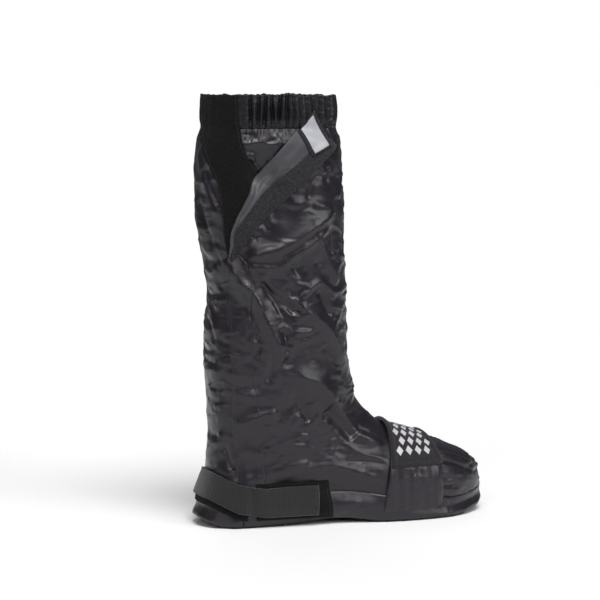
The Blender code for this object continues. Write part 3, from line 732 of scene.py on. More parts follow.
def smallCreases(points):
    # short sharp creases all over the slack cloth, most of them across the leg
    chance = random.Random(creases["seed"])
    total = np.zeros(len(points))
    for _ in range(creases["count"]):
        start = chance.randrange(len(points))
        here, out = Vector(points[start]), Vector(skinOut[start])
        level = Vector((0, 0, 1)).cross(out)
        # there are none at the back of the shaft's outer side, in the sole's seam or on level cloth
        smoothSpot = here.x < -0.012 and here.z > 0.28 and here.y < 0.01
        if level.length < 0.2 or here.z < 0.03 or smoothSpot:
            continue
        level.normalize()
        lean = chance.gauss(0, 0.55)
        way = (level * math.cos(lean) + out.cross(level) * math.sin(lean)).normalized()
        bow = chance.uniform(-0.25, 0.25)
        length = chance.uniform(*creases["long"]) * mm
        height = chance.uniform(*creases["height"]) * chance.choice((1, 1, -1))
        width = chance.uniform(*creases["width"]) * mm
        away = points - np.array(here)
        near = np.where((np.abs(away) < length).all(1))[0]
        away = away[near]
        along = away @ np.array(way)
        side = away @ np.array(out.cross(way).normalized()) - bow * along * along / length
        shape = np.exp(-(np.sqrt((side / width) ** 2 + 0.1) - 0.32) * 1.2)
        shape *= rise((1 - np.abs(along) * 2 / length) * 1.6) * (np.abs(away @ np.array(out)) < 0.02)
        total[near] += height * mm * shape
    return total


collarX = 0.040   # the middle of the shaft at the collar


def aroundCollar(points):
    # angle round the shaft's middle, 0 to the outer side and growing towards the front
    return np.arctan2(points[:, 0] - collarX, -points[:, 1])


# gathers of the collar, in mm: how far apart the broad and the fine ones are, how deep, and how wide. The
# loop tape holds them flat between two angles.
pleats = {
    "around": 62, "pitch": (5.5, 10.5), "fine": (3.0, 4.6), "depth": 5.0, "seed": 7,
    "wide": 2.1, "swellAt": 0.065, "swellWide": 2.4, "fineWide": 0.9, "tapeFrom": -1.20, "tapeTo": -0.62,
}


def layPleats(kind, seed):
    # places and strengths of the collar's gathers, as angles
    chance = random.Random(seed)
    places, angle = [], -math.pi
    while angle < math.pi - 0.08:
        places.append((angle, chance.uniform(0.5, 1.0), chance.uniform(-1, 1)))
        angle += chance.uniform(*pleats[kind]) / pleats["around"]
    return places


broadPleats = layPleats("pitch", pleats["seed"])
finePleats = layPleats("fine", pleats["seed"] + 1)


def angleGap(angle, place):
    return np.abs((angle - place + math.pi) % (2 * math.pi) - math.pi)


def pleatDepth(angle, up):
    # grooves of the gathered hem: sharp where the elastic pulls, and fading below it
    sunk, swell = np.zeros_like(angle), np.zeros_like(angle)
    for place, strength, lean in broadPleats:
        gap = angleGap(angle, place + lean * 0.035 * (up - 0.435) / 0.016)
        sunk = np.maximum(sunk, strength * np.exp(-gap * pleats["around"] / pleats["wide"]))
        swell = np.maximum(swell, bell((gap - pleats["swellAt"]) * pleats["around"], pleats["swellWide"]))
    # where the elastic is sewn, at the top and along the seam, the gathers are fine and tight
    tight = np.maximum(rise((up - 0.442) / 0.004), bell(up - 0.4185, 0.0022))
    for place, strength, _ in finePleats:
        gap = angleGap(angle, place)
        sunk = np.maximum(sunk, 0.55 * tight * strength * np.exp(-gap * pleats["around"] / pleats["fineWide"]))
    under = rise((angle - pleats["tapeFrom"]) / 0.08) * rise((pleats["tapeTo"] - angle) / 0.08)
    return (0.35 * swell - sunk) * pleats["depth"] * mm * (1 - 0.85 * under)


strapLook = {
    # middle line of the webbing in mm, from behind the heel forwards
    "middle": [(-61.4, 50.6), (-32.3, 45.2), (-6.5, 32.1), (22.6, 27.1), (79.0, 28.0)],
    "wide": 30.0,
    "thick": 1.8,
    "end": 78.8,
}


def strapHeight(x):
    # up, from x, both in mm
    return np.interp(x, *zip(*strapLook["middle"]))


def foldCloth():
    x, y, z = (skinAt / mm).T
    heights = foldHeights(skinAt)
    # the small creases give way to the folds, and the toe and the back of the leg are smoother
    atBack = rise((6 - x) / 14)
    slack = (1 - 0.75 * rise(np.abs(heights) / (2.5 * mm))) * (1 - 0.2 * rise((x - 215) / 10)) * (1 - 0.5 * atBack)
    heights *= 1 - 0.3 * atBack
    heights += slack * smallCreases(skinAt)
    heights += slack * crinkles(skinAt) * upperLook["crinkle"] * mm
    # the gathers fan out below the hem, and the cloth is pulled in to the sole at the bottom
    heights *= 1 - rise((z - 402) / 16)
    heights += 0.55 * rise((z - 388) / 30) * pleatDepth(aroundCollar(skinAt), np.full(len(skinAt), 0.42))
    heights *= rise((z - 4) / 18)
    # the band and the strap press the cloth flat
    underBand = rise((x - 149) / 7) * rise((219 - x) / 4)
    underStrap = rise((strapHeight(x) + 17 - z) / 5) * rise((84 - x) / 5)
    heights *= 1 - 0.9 * np.maximum(underBand, underStrap)
    # the hollow over the instep is stretched smooth, and a little flatter than the solid's
    hollow = rise((x - 112) / 14) * rise((164 - x) / 6) * rise((z - 84) / 12) * rise((34 - np.abs(y)) / 14)
    heights *= 1 - 0.4 * hollow
    heights -= 2.4 * mm * bell(x - 150, 35) * rise((z - 60) / 20) * (z < 140)
    return skinAt + heights[:, None] * skinOut


clothAt = foldCloth()
skin.data.vertices.foreach_set("co", clothAt.ravel())
skin.data.update()
clothTree = treeFrom(clothAt, skinFaces)
print("cloth folded")


def finishPiece(piece, material, slot, *nodes, smooth=True):
    # one material, smooth faces, and what the piece stands for
    piece.data.materials.clear()
    piece.data.materials.append(material)
    if smooth:
        piece.data.shade_smooth()
    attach(piece, "root")
    if nodes:
        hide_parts(*nodes)
    return piece


def makeUpper():
    # front and back panels, cut where the flap's seam and the inner seam hide the join
    x, y, z = np.array([face.center[:] for face in skin.data.polygons]).T / mm
    below = z < upperLook["hemFrom"]
    onTape = (x - y) * math.sqrt(0.5) > np.interp(z, *zip(*upperLook["underTape"]))
    onFlap = x > np.interp(z, *zip(*upperLook["underFlap"]))
    front = np.where(y > 0, x > upperLook["innerSeam"], np.where(z > upperLook["pinch"], onTape, onFlap))
    for name, part in (("upper_front", below & front), ("upper_back", below & ~front)):
        build = builtFrom(skin.data)
        build.faces.ensure_lookup_table()
        bmesh.ops.delete(build, geom=[build.faces[i] for i in np.where(~part)[0]], context="FACES")
        panel = linkBuild(name, build)
        thicken(panel, upperLook["wall"], -1)
        finishPiece(panel, nylon, "coated_nylon", "upper")
        panel.data.set_sharp_from_angle(angle=1.3)
        print(name, len(panel.data.polygons), "faces")


makeUpper()

# grids of cloth laid on the upper


def smoothGrid(values, rounds, closed=False):
    # evens out a grid, so that stiff tape bridges small folds
    for _ in range(rounds):
        middle = values.copy()
        if closed:
            middle = (np.roll(values, 1, 1) + np.roll(values, -1, 1)) / 2
        else:
            middle[:, 1:-1] = (values[:, 2:] + values[:, :-2]) / 2
        values = (values + middle) / 2
        middle = values.copy()
        middle[1:-1] = (values[2:] + values[:-2]) / 2
        values = (values + middle) / 2
    return values


def laidGrid(flat, azimuth, rounds, tree):
    # a flat pattern of (across, up) laid on what is under it, as seen from an azimuth
    right, toward = viewAxes(azimuth)
    rows, cols = flat.shape[:2]
    depth = np.full((rows, cols), np.nan)
    for i in range(rows):
        for j in range(cols):
            hit = onForm(azimuth, flat[i, j, 0], flat[i, j, 1], tree)[0]
            if hit is not None:
                depth[i, j] = hit.dot(toward)
    # a cell that looks past the boot takes its depth from its row, and an empty row from its neighbours
    depth = np.array([fillGaps(row) for row in depth])
    depth = np.array([fillGaps(column) for column in depth.T]).T
    if rounds:
        even = smoothGrid(depth, rounds)
        depth = smoothGrid(np.maximum(even, depth - 0.0002), max(2, rounds // 3))
    out = flat[..., :1] * np.array(right) + depth[..., None] * np.array(toward)
    out[..., 2] = flat[..., 1]
    return out


def gridNormals(grid, closed=False):
    down = np.gradient(grid, axis=0)
    if closed:
        across = (np.roll(grid, -1, 1) - np.roll(grid, 1, 1)) / 2
    else:
        across = np.gradient(grid, axis=1)
    out = np.cross(across, down)
    return out / np.maximum(np.linalg.norm(out, axis=2), 1e-12)[..., None]


def outwards(grid, normals):
    # turned to point away from the boot's middle: a line up the leg, and one along the foot
    x, z = grid[..., 0], grid[..., 2]
    inFoot = z < 0.13
    middle = np.zeros_like(grid)
    middle[..., 0] = np.where(inFoot, np.clip(x, 0.0, 0.23), np.clip(x, 0.03, 0.05))
    middle[..., 2] = np.where(inFoot, 0.03, z)
    return -normals if np.sum((grid - middle) * normals) < 0 else normals


def lifted(grid, lift, rounds, closed=False):
    # a grid moved outwards, by one distance in metres or by one for each point
    normals = smoothGrid(outwards(grid, gridNormals(grid, closed)), rounds, closed)
    normals /= np.linalg.norm(normals, axis=2)[..., None]
    return grid + normals * (lift[..., None] if np.ndim(lift) else lift), normals


def gridFaces(rows, cols, closed=False, ring=False):
    # the squares of a grid, closed along its rows, and as a ring also along its columns
    downs = [(i, (i + 1) % rows) for i in range(rows if ring else rows - 1)]
    acrosses = [(j, (j + 1) % cols) for j in range(cols if closed else cols - 1)]
    return [(i * cols + j, i * cols + k, n * cols + k, n * cols + j) for i, n in downs for j, k in acrosses]


def gridMesh(name, grid, normals, closed=False):
    # a sheet of squares with its UV in metres
    rows, cols = grid.shape[:2]
    faces = gridFaces(rows, cols, closed)
    middle = rows // 2
    across = grid[middle, 1] - grid[middle, 0]
    down = grid[middle + 1, 0] - grid[middle, 0]
    if np.dot(np.cross(across, down), normals[middle, 0]) < 0:
        faces = [face[::-1] for face in faces]
    piece = meshFrom(name, grid.reshape(-1, 3), faces)
    cut = np.zeros((rows, cols, 2))
    cut[:, 1:, 0] = np.cumsum(np.linalg.norm(np.diff(grid, axis=1), axis=2), axis=1)
    cut[1:, :, 1] = np.cumsum(np.linalg.norm(np.diff(grid, axis=0), axis=2), axis=0)
    corners = np.array([loop.vertex_index for loop in piece.data.loops])
    piece.data.uv_layers.new(name="cut").data.foreach_set("uv", cut.reshape(-1, 2)[corners].ravel())
    piece.data.update()
    return piece


def sewnPiece(name, grid, normals, thick, material, slot, *nodes, closed=False):
    # a piece of cloth with its thickness in mm
    piece = gridMesh(name, grid, normals, closed)
    thicken(piece, thick, 1)
    return finishPiece(piece, material, slot, *nodes)


def edgeGrid(cells, left, right):
    # a flat pattern between two edges, each a run of (across, up) in mm
    rows, cols = cells

    def even(edge):
        line = smoothLine(edge, 1.0)
        steps = walked(line)
        at = np.linspace(0, steps[-1], rows)
        return np.stack([np.interp(at, steps, line[:, k]) for k in (0, 1)], 1)

    share = np.linspace(0, 1, cols)[None, :, None]
    return (even(left)[:, None] * (1 - share) + even(right)[:, None] * share) * mm


def stackTree(*names):
    # the cloth with finished pieces on it, to lay the next layer on
    points, faces = list(clothAt), list(skinFaces)
    for name in names:
        mesh = bpy.data.objects[name].data
        start = len(points)
        points += [vert.co for vert in mesh.vertices]
        faces += [tuple(start + v for v in face.vertices) for face in mesh.polygons]
    return treeFrom(points, faces)


# stitching

stitchLook = {"pitch": 3.0, "long": 2.2, "thick": 0.42, "bow": 0.12, "waist": 0.45}
seams = []


def sewAlong(points, normals, lift, closed=False):
    # remembers a seam, to be stitched at the end, with its height over the line in mm
    if closed:
        points, normals = np.concatenate([points, points[:1]]), np.concatenate([normals, normals[:1]])
    seams.append((points, normals, lift))


def sewGrid(grid, normals, places, lift, trim=0.0):
    # seams down a grid, each at a share of the way across it, with a share of its length left off its ends
    for share in places:
        at = share * (grid.shape[1] - 1)
        low = min(int(at), grid.shape[1] - 2)
        t = at - low
        line = grid[:, low] * (1 - t) + grid[:, low + 1] * t
        out = normals[:, low] * (1 - t) + normals[:, low + 1] * t
        cut = int(trim * len(line))
        end = len(line) - cut
        sewAlong(line[cut:end], out[cut:end], lift)


def makeStitches():
    # one stitch is shaped, and its copies are laid along every seam
    look = stitchLook
    pitch, long, thick = (look[k] * mm for k in ("pitch", "long", "thick"))
    useOnly()
    bpy.ops.mesh.primitive_cylinder_add(vertices=6, radius=0.5, depth=1.0, end_fill_type="TRIFAN")
    stitch = bpy.context.active_object
    editMesh(stitch, ("subdivide", {"number_cuts": 1}))
    shape = readRows(stitch.data.vertices, "co")
    shape[:, :2] *= 1 - look["waist"] * (np.abs(shape[:, 2]) * 2)[:, None] ** 2
    bow = (1 - (2 * shape[:, 2]) ** 2) * look["bow"] * mm
    local = shape * np.array([thick, thick, long])
    sides = [face.vertices[:] for face in stitch.data.polygons]
    bpy.data.objects.remove(stitch)
    points, faces = [], []
    for line, normals, lift in seams:
        steps = walked(line)

        def spot(values, place):
            return np.array([np.interp(place, steps, values[:, k]) for k in range(3)])

        for place in np.arange(pitch / 2, steps[-1], pitch):
            a, b, out = spot(line, place - long / 2), spot(line, place + long / 2), spot(normals, place)
            run = (b - a) / max(np.linalg.norm(b - a), 1e-9)
            out = out - run * out.dot(run)
            out /= max(np.linalg.norm(out), 1e-9)
            side = np.cross(run, out)
            centre = (a + b) / 2 + out * lift * mm
            start = len(points) * len(shape)
            points.append(centre + local[:, :1] * side + (local[:, 1:2] + bow[:, None]) * out + local[:, 2:] * run)
            faces += [tuple(start + v for v in face) for face in sides]
    piece = meshFrom("stitches", np.concatenate(points), faces)
    faceOutwards(piece)
    finishPiece(piece, thread, "webbing")
    print("stitches:", len(points))


def layTape(name, look, tree, material, slot, *nodes):
    # a tape cut between two edges, laid on what is under it, and sewn along its sides
    flat = edgeGrid(look["cells"], look["left"], look["right"])
    grid = laidGrid(flat, look["azimuth"], look["rounds"], tree)
    lift = (look["lift"] + noiseOn(grid, 900, 900, 900) * look.get("fuzz", 0)) * mm
    grid, normals = lifted(grid, lift, look["even"])
    sewnPiece(name, grid, normals, look["thick"], material, slot, *nodes)
    sewGrid(grid, normals, look["seams"], look["thick"] + look["proud"], look.get("trim", 0.0))


# the inner side's seam

innerEdge = -upperLook["innerSeam"]
seamLook = {
    "azimuth": 180, "cells": (190, 10), "rounds": 1, "lift": 0.5, "even": 2, "thick": 0.45,
    "left": [(innerEdge - 4.5, up) for up in (421, 200, 14)],
    "right": [(innerEdge + 4.5, up) for up in (421, 200, 14)],
    "seams": (0.16, 0.84), "proud": 0.05,
}
layTape("inner_seam", seamLook, clothTree, nylon, "coated_nylon")

# collar hem

hemLook = {
    # in metres: where it begins and ends, how thick it is, and how high its wavy edge may reach
    "from": 0.4155, "to": 0.4484, "thick": 0.0034, "most": 0.4519,
    "off": 0.0016,        # how far its top stands off the form
    "around": 620, "rows": 18, "turnRows": 6, "downRows": 9,
    "seamRow": 4,
}


def collarReach(tree, up):
    # how far the cloth is from the shaft's middle all round, at one height
    centre, reach = Vector((collarX, 0, up)), []
    for angle in hemAngles:
        out = Vector((math.sin(angle), -math.cos(angle), 0))
        reach.append((tree.ray_cast(centre + out * 0.3, -out)[0] - centre).length)
    return np.array(reach)


def hemSection():
    # from its lower edge up, over the top and down inside: height, how far it stands off, and how much of
    # the gathers' depth is there
    look, section = hemLook, []
    tall = look["to"] - look["from"]
    for k in range(look["rows"] + 1):
        share = k / look["rows"]
        strength = 0.55 + 0.45 * math.sin(math.pi * min(1, share * 1.15)) ** 0.5 if share < 0.87 else 0.75
        strength = max(strength, 0.75) * (0.75 + 0.25 * min(1.0, share / 0.3))
        off = 0.0002 + 0.0012 * min(1.0, share / 0.12) + 0.0008 * math.sin(math.pi * share)
        section.append((look["from"] + tall * share, off, strength))
    for k in range(1, look["turnRows"]):
        turn = math.pi * k / look["turnRows"]
        off = look["off"] - look["thick"] * (1 - math.cos(turn)) / 2
        section.append((look["to"] + 0.0012 * math.sin(turn), off, 0.7))
    for k in range(look["downRows"] + 1):
        share = k / look["downRows"]
        section.append((look["to"] - (tall - 0.006) * share, look["off"] - look["thick"], 0.7 * (1 - 0.5 * share)))
    return section


hemAngles = np.linspace(-math.pi, math.pi, hemLook["around"], endpoint=False)


def makeHem():
    look, count = hemLook, hemLook["around"]
    # the form's own outline without its small bumps, and the folded cloth at the hem's lower edge
    spectrum = np.fft.rfft(collarReach(formTree, 0.425))
    spectrum[12:] = 0
    reach = np.fft.irfft(spectrum, count)
    low = collarReach(clothTree, look["from"] + 0.001)
    sines, cosines = np.sin(hemAngles), np.cos(hemAngles)
    sway = np.array([noise.noise(Vector((s * 3.5, c * 3.5, 4.0))) for s, c in zip(sines, cosines)])
    section = hemSection()
    grid = np.zeros((len(section), count, 3))
    for i, (up, off, strength) in enumerate(section):
        depth = pleatDepth(hemAngles, np.full(count, up)) * strength
        wave = np.array([noise.noise(Vector((s * 9, c * 9, up * 60))) for s, c in zip(sines, cosines)])
        r = reach + off + depth + wave * 0.0006
        if off > 0:
            # its lower edge grows out of the cloth
            own = rise((up - look["from"]) / 0.008)
            r = (low + 0.0004) * (1 - own) + r * own
        top = rise((up - 0.435) / 0.014)
        grid[i, :, 0] = collarX + sines * r
        grid[i, :, 1] = -cosines * r
        grid[i, :, 2] = up + top * (0.35 * depth + wave * 0.0009 + sway * 0.0030)
    grid[..., 2] = np.minimum(grid[..., 2], look["most"])
    normals = outwards(grid, gridNormals(grid, True))
    hem = meshFrom("collar_hem", grid.reshape(-1, 3), gridFaces(len(section), count, True, True))
    faceOutwards(hem)
    # the hem's cloth carries painted shade of its gathers in its darker colours
    finishPiece(hem, hemNylonPaintedShade, "coated_nylon")
    sewAlong(grid[look["seamRow"]], normals[look["seamRow"]], 0.1, closed=True)


makeHem()
print("collar hem made")

# loop tape up the shaft

loopLook = {
    "azimuth": -45, "cells": (110, 40), "rounds": 14, "lift": 0.9, "fuzz": 0.3, "even": 6, "thick": 1.5,
    "left": [
        (-24.5, 449.0), (-19.5, 420.4), (-9.8, 394.0), (-1.9, 379.0),
        (9.1, 357.0), (13.6, 325.0), (14.6, 300.0), (17.0, 283.0),
    ],
    "right": [
        (27.0, 449.5), (28.0, 420.4), (34.8, 394.0), (39.3, 379.0),
        (42.8, 357.0), (40.3, 325.0), (32.0, 302.0), (22.5, 284.0),
    ],
    "seams": (0.045, 0.955), "proud": 0.1,
}
collarTree = stackTree("collar_hem")
layTape("loop_tape_cloth", loopLook, collarTree, loopCloth, "loop_tape", "loop_tape")
print("loop tape laid")

# storm flap: closed below the pinch, turned back above it

flapLook = {
    "thick": 0.45,
    "closedCells": (170, 22), "turnedCells": (120, 30),
    # the closed part's free edge and the line where it is sewn on
    "rear": [
        (-14.9, 287.0), (-16.5, 270.0), (-13.9, 208.0), (-11.6, 157.0),
        (-9.4, 104.0), (-6.1, 58.0), (-4.0, 35.0), (-1.5, 10.0),
    ],
    "sewn": [
        (-6.0, 287.0), (2.9, 270.0), (6.5, 208.0), (8.4, 157.0),
        (18.7, 104.0), (21.5, 58.0), (21.0, 35.0), (17.0, 10.0),
    ],
    # the turned-back part's fold and its free edge, with the hook tape's edge between them
    "fold": [
        (-14.0, 280.0), (-12.4, 294.0), (-10.4, 314.0), (3.0, 344.0), (20.0, 371.5), (37.0, 395.0), (53.5, 412.5),
    ],
    "free": [
        (-12.0, 280.0), (-4.5, 293.0), (16.0, 321.0), (45.0, 348.0), (72.0, 372.0), (96.0, 391.5), (101.0, 397.0),
    ],
    # its long ripples: how far from the fold, as a share of its width, and how high in mm
    "ripples": ((0.14, -2.0), (0.30, 1.6), (0.40, -1.8)),
    "under": (9.0, 6.0, 3.0),   # mm of cloth that runs back under the fold
    "rolls": 6,
}


def shares(cells):
    rows, cols = cells
    return np.linspace(0, 1, rows)[:, None], np.linspace(0, 1, cols)[None, :]


def makeClosedFlap():
    flat = edgeGrid(flapLook["closedCells"], flapLook["rear"], flapLook["sewn"])
    down, share = shares(flapLook["closedCells"])
    # the sewn edge follows the cloth closely
    near = rise((share - 0.5) / 0.4)[..., None]
    grid = laidGrid(flat, 0, 4, clothTree) * (1 - near) + laidGrid(flat, 0, 0, clothTree) * near
    # the free edge stands off a little, in waves
    wave = 0.5 + 0.5 * np.sin(down * 41 + 1.3 * np.sin(down * 17))
    lift = (0.7 + bell(share, 0.16) * (0.5 + 0.7 * wave) - 0.5 * rise((share - 0.5) / 0.5)) * mm
    grid, normals = lifted(grid, lift, 3)
    sewnPiece("flap_closed", grid, normals, flapLook["thick"], nylon, "coated_nylon", "storm_flap")
    sewGrid(grid, normals, (0.13, 0.74), flapLook["thick"] + 0.05)


def makeTurnedFlap():
    rows = flapLook["turnedCells"][0]
    flat = edgeGrid(flapLook["turnedCells"], flapLook["fold"], flapLook["free"])
    base, normals = lifted(laidGrid(flat, 0, 16, collarTree), 0.0, 8)
    down, share = shares(flapLook["turnedCells"])
    # the fold stands off the shaft most at its middle, and it lies flat at the pinch and the top corner
    middle = np.sin(math.pi * down)
    stand = 4.6 * np.maximum(middle, 0) ** 0.8 + 0.5
    lift = 1.3 + stand * (1 - rise(share / 0.85)) ** 1.5
    lift = lift + 0.5 * np.sin(share * 9 + down * 13) * np.sin(math.pi * share)
    for place, height in flapLook["ripples"]:
        lift = lift + height * middle * np.exp(-np.abs(share - place - 0.12 * (down - 0.6)) / 0.05)
    top = base + normals * lift[..., None] * mm
    # the cloth rolls round the fold and runs back under itself
    inward = flat[:, 3] - flat[:, 0]
    inward /= np.linalg.norm(inward, axis=1)[:, None]
    inward = np.stack([inward[:, 0], np.zeros(rows), inward[:, 1]], 1)
    edge, out = top[:, 0], normals[:, 0]
    radius = (stand * 0.45 + 0.4) * mm
    rings = [edge + inward * distance * mm - out * 1.75 * radius for distance in flapLook["under"]]
    for turn in np.linspace(0.85, 0.15, flapLook["rolls"]) * math.pi:
        rings.append(edge - inward * math.sin(turn) * radius * 0.9 - out * (1 - math.cos(turn)) * radius * 0.9)
    full = smoothGrid(np.concatenate([np.stack(rings, 1), top], 1), 1)
    # its faces follow the roll, so its outside is set by the flat part
    flap = gridMesh("flap_turned_back", full, np.broadcast_to(normals[:, -1:], full.shape))
    thicken(flap, flapLook["thick"], 1)
    finishPiece(flap, lining, "coated_nylon")
    # how wide and long it is laid flat
    wide = np.linalg.norm(np.diff(full, axis=1), axis=2).sum(1)
    long = np.linalg.norm(np.diff(full[:, 20], axis=0), axis=1).sum()
    flat = (round(float(wide.max()), 3), round(float(long), 3))


hookLook = {
    "azimuth": 0, "cells": (120, 22), "rounds": 6, "lift": 0.4, "even": 5, "thick": 1.1,
    "left": [
        (-13.6, 280.5), (-12.0, 294.0), (-9.6, 314.0), (12.0, 343.0),
        (38.0, 368.0), (62.0, 386.0), (85.5, 402.0), (90.0, 405.5),
    ],
    "right": flapLook["free"],
    "seams": (0.07, 0.93), "proud": 0.1, "trim": 0.04,
}

tabLook = {
    "cells": (34, 44), "thick": 0.9, "faceThick": 0.25,
    "top": (73.6, 434.0), "left": (54.6, 412.0), "low": (69.4, 387.0), "right": (93.3, 398.0),
}


def makePullTab():
    top, left, low, right = (np.array(tabLook[k]) for k in ("top", "left", "low", "right"))
    s, t = (part[..., None] for part in shares(tabLook["cells"]))
    flat = ((top * (1 - s) + left * s) * (1 - t) + (right * (1 - s) + low * s) * t) * mm
    grid = laidGrid(flat, 0, 20, stackTree("flap_turned_back", "hook_tape_cloth", "collar_hem"))
    grid, normals = lifted(grid, 0.5 * mm, 8)
    sewnPiece("pull_tab_cloth", grid, normals, tabLook["thick"], hookCloth, "reflective_cloth", "pull_tab")
    # the reflective face lies on it, inside its border
    inside = (slice(5, -5), slice(2, -2))
    face = grid[inside] + normals[inside] * (tabLook["thick"] + 0.05) * mm
    sewnPiece("pull_tab_face", face, normals[inside], tabLook["faceThick"], reflective, "reflective_cloth")


makeClosedFlap()
makeTurnedFlap()
hookTree = stackTree("flap_turned_back", "loop_tape_cloth", "collar_hem")
layTape("hook_tape_cloth", hookLook, hookTree, hookCloth, "hook_tape", "hook_tape")
makePullTab()
print("flap, hook tape and tab laid")

# pieces wrapped round the foot


def wrapGrid(cells, sight, tree, rounds, closed=False, taut=0):
    # sight says, for a cell and the last point met there, where a look starts and which way it goes.
    # Only how far it reaches is evened out, so that a piece doesn't shrink round the heel.
    rows, cols = cells
    starts, ways = np.zeros((rows, cols, 3)), np.zeros((rows, cols, 3))
    reach = np.full((rows, cols), np.nan)
    for i in range(rows):
        for j in range(cols):
            last = None
            for _ in range(6):
                start, way = sight(i, j, last)
                hit = tree.ray_cast(start, way)[0]
                if hit is None:
                    break
                last = hit if last is None else (last + hit) / 2
            starts[i, j], ways[i, j] = start[:], way[:]
            if hit is not None:
                reach[i, j] = (hit - start).length
    reach = np.array([fillGaps(column) for column in reach.T]).T
    # taut cloth spans hollows in straight lines, from its lower edge to its upper one
    for a in range(taut):
        for b in range(a + 2, taut + 1):
            for i in range(a + 1, b):
                t = (i - a) / (b - a)
                reach[i] = np.minimum(reach[i], reach[a] * (1 - t) + reach[b] * t)
    even = smoothGrid(reach, rounds, closed)
    reach = smoothGrid(np.minimum(even, reach + 0.0002), max(2, rounds // 3), closed)
    return smoothGrid(starts, 3, closed) + ways * reach[..., None]


# height, and the rear and front edge there, in mm, with the height that each piece ends at
bandLook = {
    "edges": [(8, 149.5, 217.7), (30, 152, 217.4), (56.5, 157, 216.8), (101, 162.8, 206.5), (136, 164, 204)],
    "low": 9.0, "cells": (150, 34), "thick": 0.9,
}
padLook = {
    "edges": [(56, 158.2, 218.2), (101, 163.4, 207.0), (136, 164.6, 204.6)],
    "low": 59.0, "cells": (110, 60), "thick": 1.5,
    "border": 2.4, "borderHigh": 1.6, "groove": 5.6, "grooveDeep": 0.35,
}
footTurn = 1.75   # radians to each side of the top that the edges are read over


def footLook(x, angle):
    # a look at the foot from round it: 0 from above, and growing to the outer side
    way = Vector((0, math.sin(angle), -math.cos(angle)))
    return Vector((x, 0.003, 0.024)) - way * 0.2, way


def footSight(look, tree):
    # rows go round the foot from the outer side over the top, columns from the rear edge to the front one
    rows, cols = look["cells"]
    ups, *sides = zip(*look["edges"])

    def meets(x, angle):
        return tree.ray_cast(*footLook(x, angle))[0]

    def sideAngle(x, side):
        # how far round a look still meets the foot above the piece's lower end
        angle = 0.35
        while angle < 2.2:
            hit = meets(x, side * angle)
            if hit is None or hit.z < look["low"] * mm:
                return side * angle - side * 0.01 * (hit is None)
            angle += 0.01
        return side * angle

    edges = np.zeros((rows, 2))
    for i in range(rows):
        for k in (0, 1):
            x = 0.17
            for _ in range(14):
                hit = meets(x, footTurn - 2 * footTurn * i / (rows - 1))
                goal = np.interp((hit.z if hit is not None else 0.02) / mm, ups, sides[k]) * mm
                x += (goal - x) * 0.4
            edges[i, k] = x
    for _ in range(12):
        edges[1:-1] = (edges[:-2] + 2 * edges[1:-1] + edges[2:]) / 4

    def between(rear, front, j):
        share = j / (cols - 1)
        return rear * (1 - share) + front * share

    def edgeAt(angle, k):
        return float(np.interp(-angle, np.linspace(-footTurn, footTurn, rows), edges[:, k]))

    # the band ends under the foot, and the pad on its side
    lowEnds = edges[0] if look["low"] < 30 else (edgeAt(1.0, 0), edgeAt(1.0, 1))
    ends = [[sideAngle(between(*lowEnds, j), side) for side in (1, -1)] for j in range(cols)]

    def sight(i, j, last):
        first, final = ends[j]
        angle = first + (final - first) * i / (rows - 1)
        return footLook(between(edgeAt(angle, 0), edgeAt(angle, 1), j), angle)

    return sight


def makeBand():
    grid = wrapGrid(bandLook["cells"], footSight(bandLook, clothTree), clothTree, 5)
    # it is slack at the sides and tight over the top
    slack = noiseOn(grid, 130, 20, 16) * rise((0.062 - grid[..., 2]) / 0.012)
    grid, normals = lifted(grid, (1.6 + 1.6 * slack) * mm, 4)
    sewnPiece("forefoot_band_cloth", grid, normals, bandLook["thick"], nylon, "coated_nylon", "forefoot_band")
    sewGrid(grid, normals, (0.05, 0.95), bandLook["thick"] + 0.05)


def makePad():
    tree = stackTree("forefoot_band_cloth")
    base, normals = lifted(wrapGrid(padLook["cells"], footSight(padLook, tree), tree, 6), 0.4 * mm, 4)
    rows, cols = padLook["cells"]
    down, across = shares(padLook["cells"])
    wide, long = walked(base[rows // 2])[-1] / mm, walked(base[:, cols // 2])[-1] / mm
    # a raised border with a groove inside it
    fromEdge = np.minimum(np.minimum(across, 1 - across) * wide, np.minimum(down, 1 - down) * long)
    border = np.exp(-(((fromEdge - padLook["border"]) / 1.7) ** 4))
    groove = bell(fromEdge - padLook["groove"], 0.9)
    top = base + normals * ((border * padLook["borderHigh"] - groove * padLook["grooveDeep"]) * mm)[..., None]
    sewnPiece("shift_pad_cloth", top, normals, padLook["thick"], padCloth, "shift_pad_rubber", "shift_pad")
    for size, turned in ((wide, (0, 1, 2)), (long, (1, 0, 2))):
        shareIn = padLook["border"] / size
        sewGrid(top.transpose(turned), normals.transpose(turned), (shareIn, 1 - shareIn), padLook["thick"] + 0.05)
    return base, normals, wide, long


lozengeLook = {
    # mm: half sizes, height, distances between them, how far each row is shifted, and the bare edge
    "half": (3.9, 5.6), "high": 0.75, "pitch": (10.6, 11.6), "shift": 2.4, "margin": 7.0,
    "across": 4,
}


def lozengeShape():
    # one raised lozenge with a smaller top and worn corners
    useOnly()
    bpy.ops.mesh.primitive_circle_add(vertices=4, radius=1.0, fill_type="NGON")
    one = bpy.context.active_object
    raised = {"TRANSFORM_OT_translate": {"value": (0, 0, 0.5)}}
    editMesh(one, ("extrude_region_move", raised), ("inset", {"thickness": 0.14, "depth": 0.22}))
    build = builtFrom(one.data)
    bmesh.ops.recalc_face_normals(build, faces=build.faces)
    level = [edge for edge in build.edges if abs(edge.verts[0].co.z - edge.verts[1].co.z) < 0.01]
    bmesh.ops.bevel(build, geom=level, offset=0.05, segments=1, affect="EDGES")
    shape = [vert.co[:] for vert in build.verts]
    faces = [[vert.index for vert in face.verts] for face in build.faces]
    build.free()
    bpy.data.objects.remove(one)
    return shape, faces


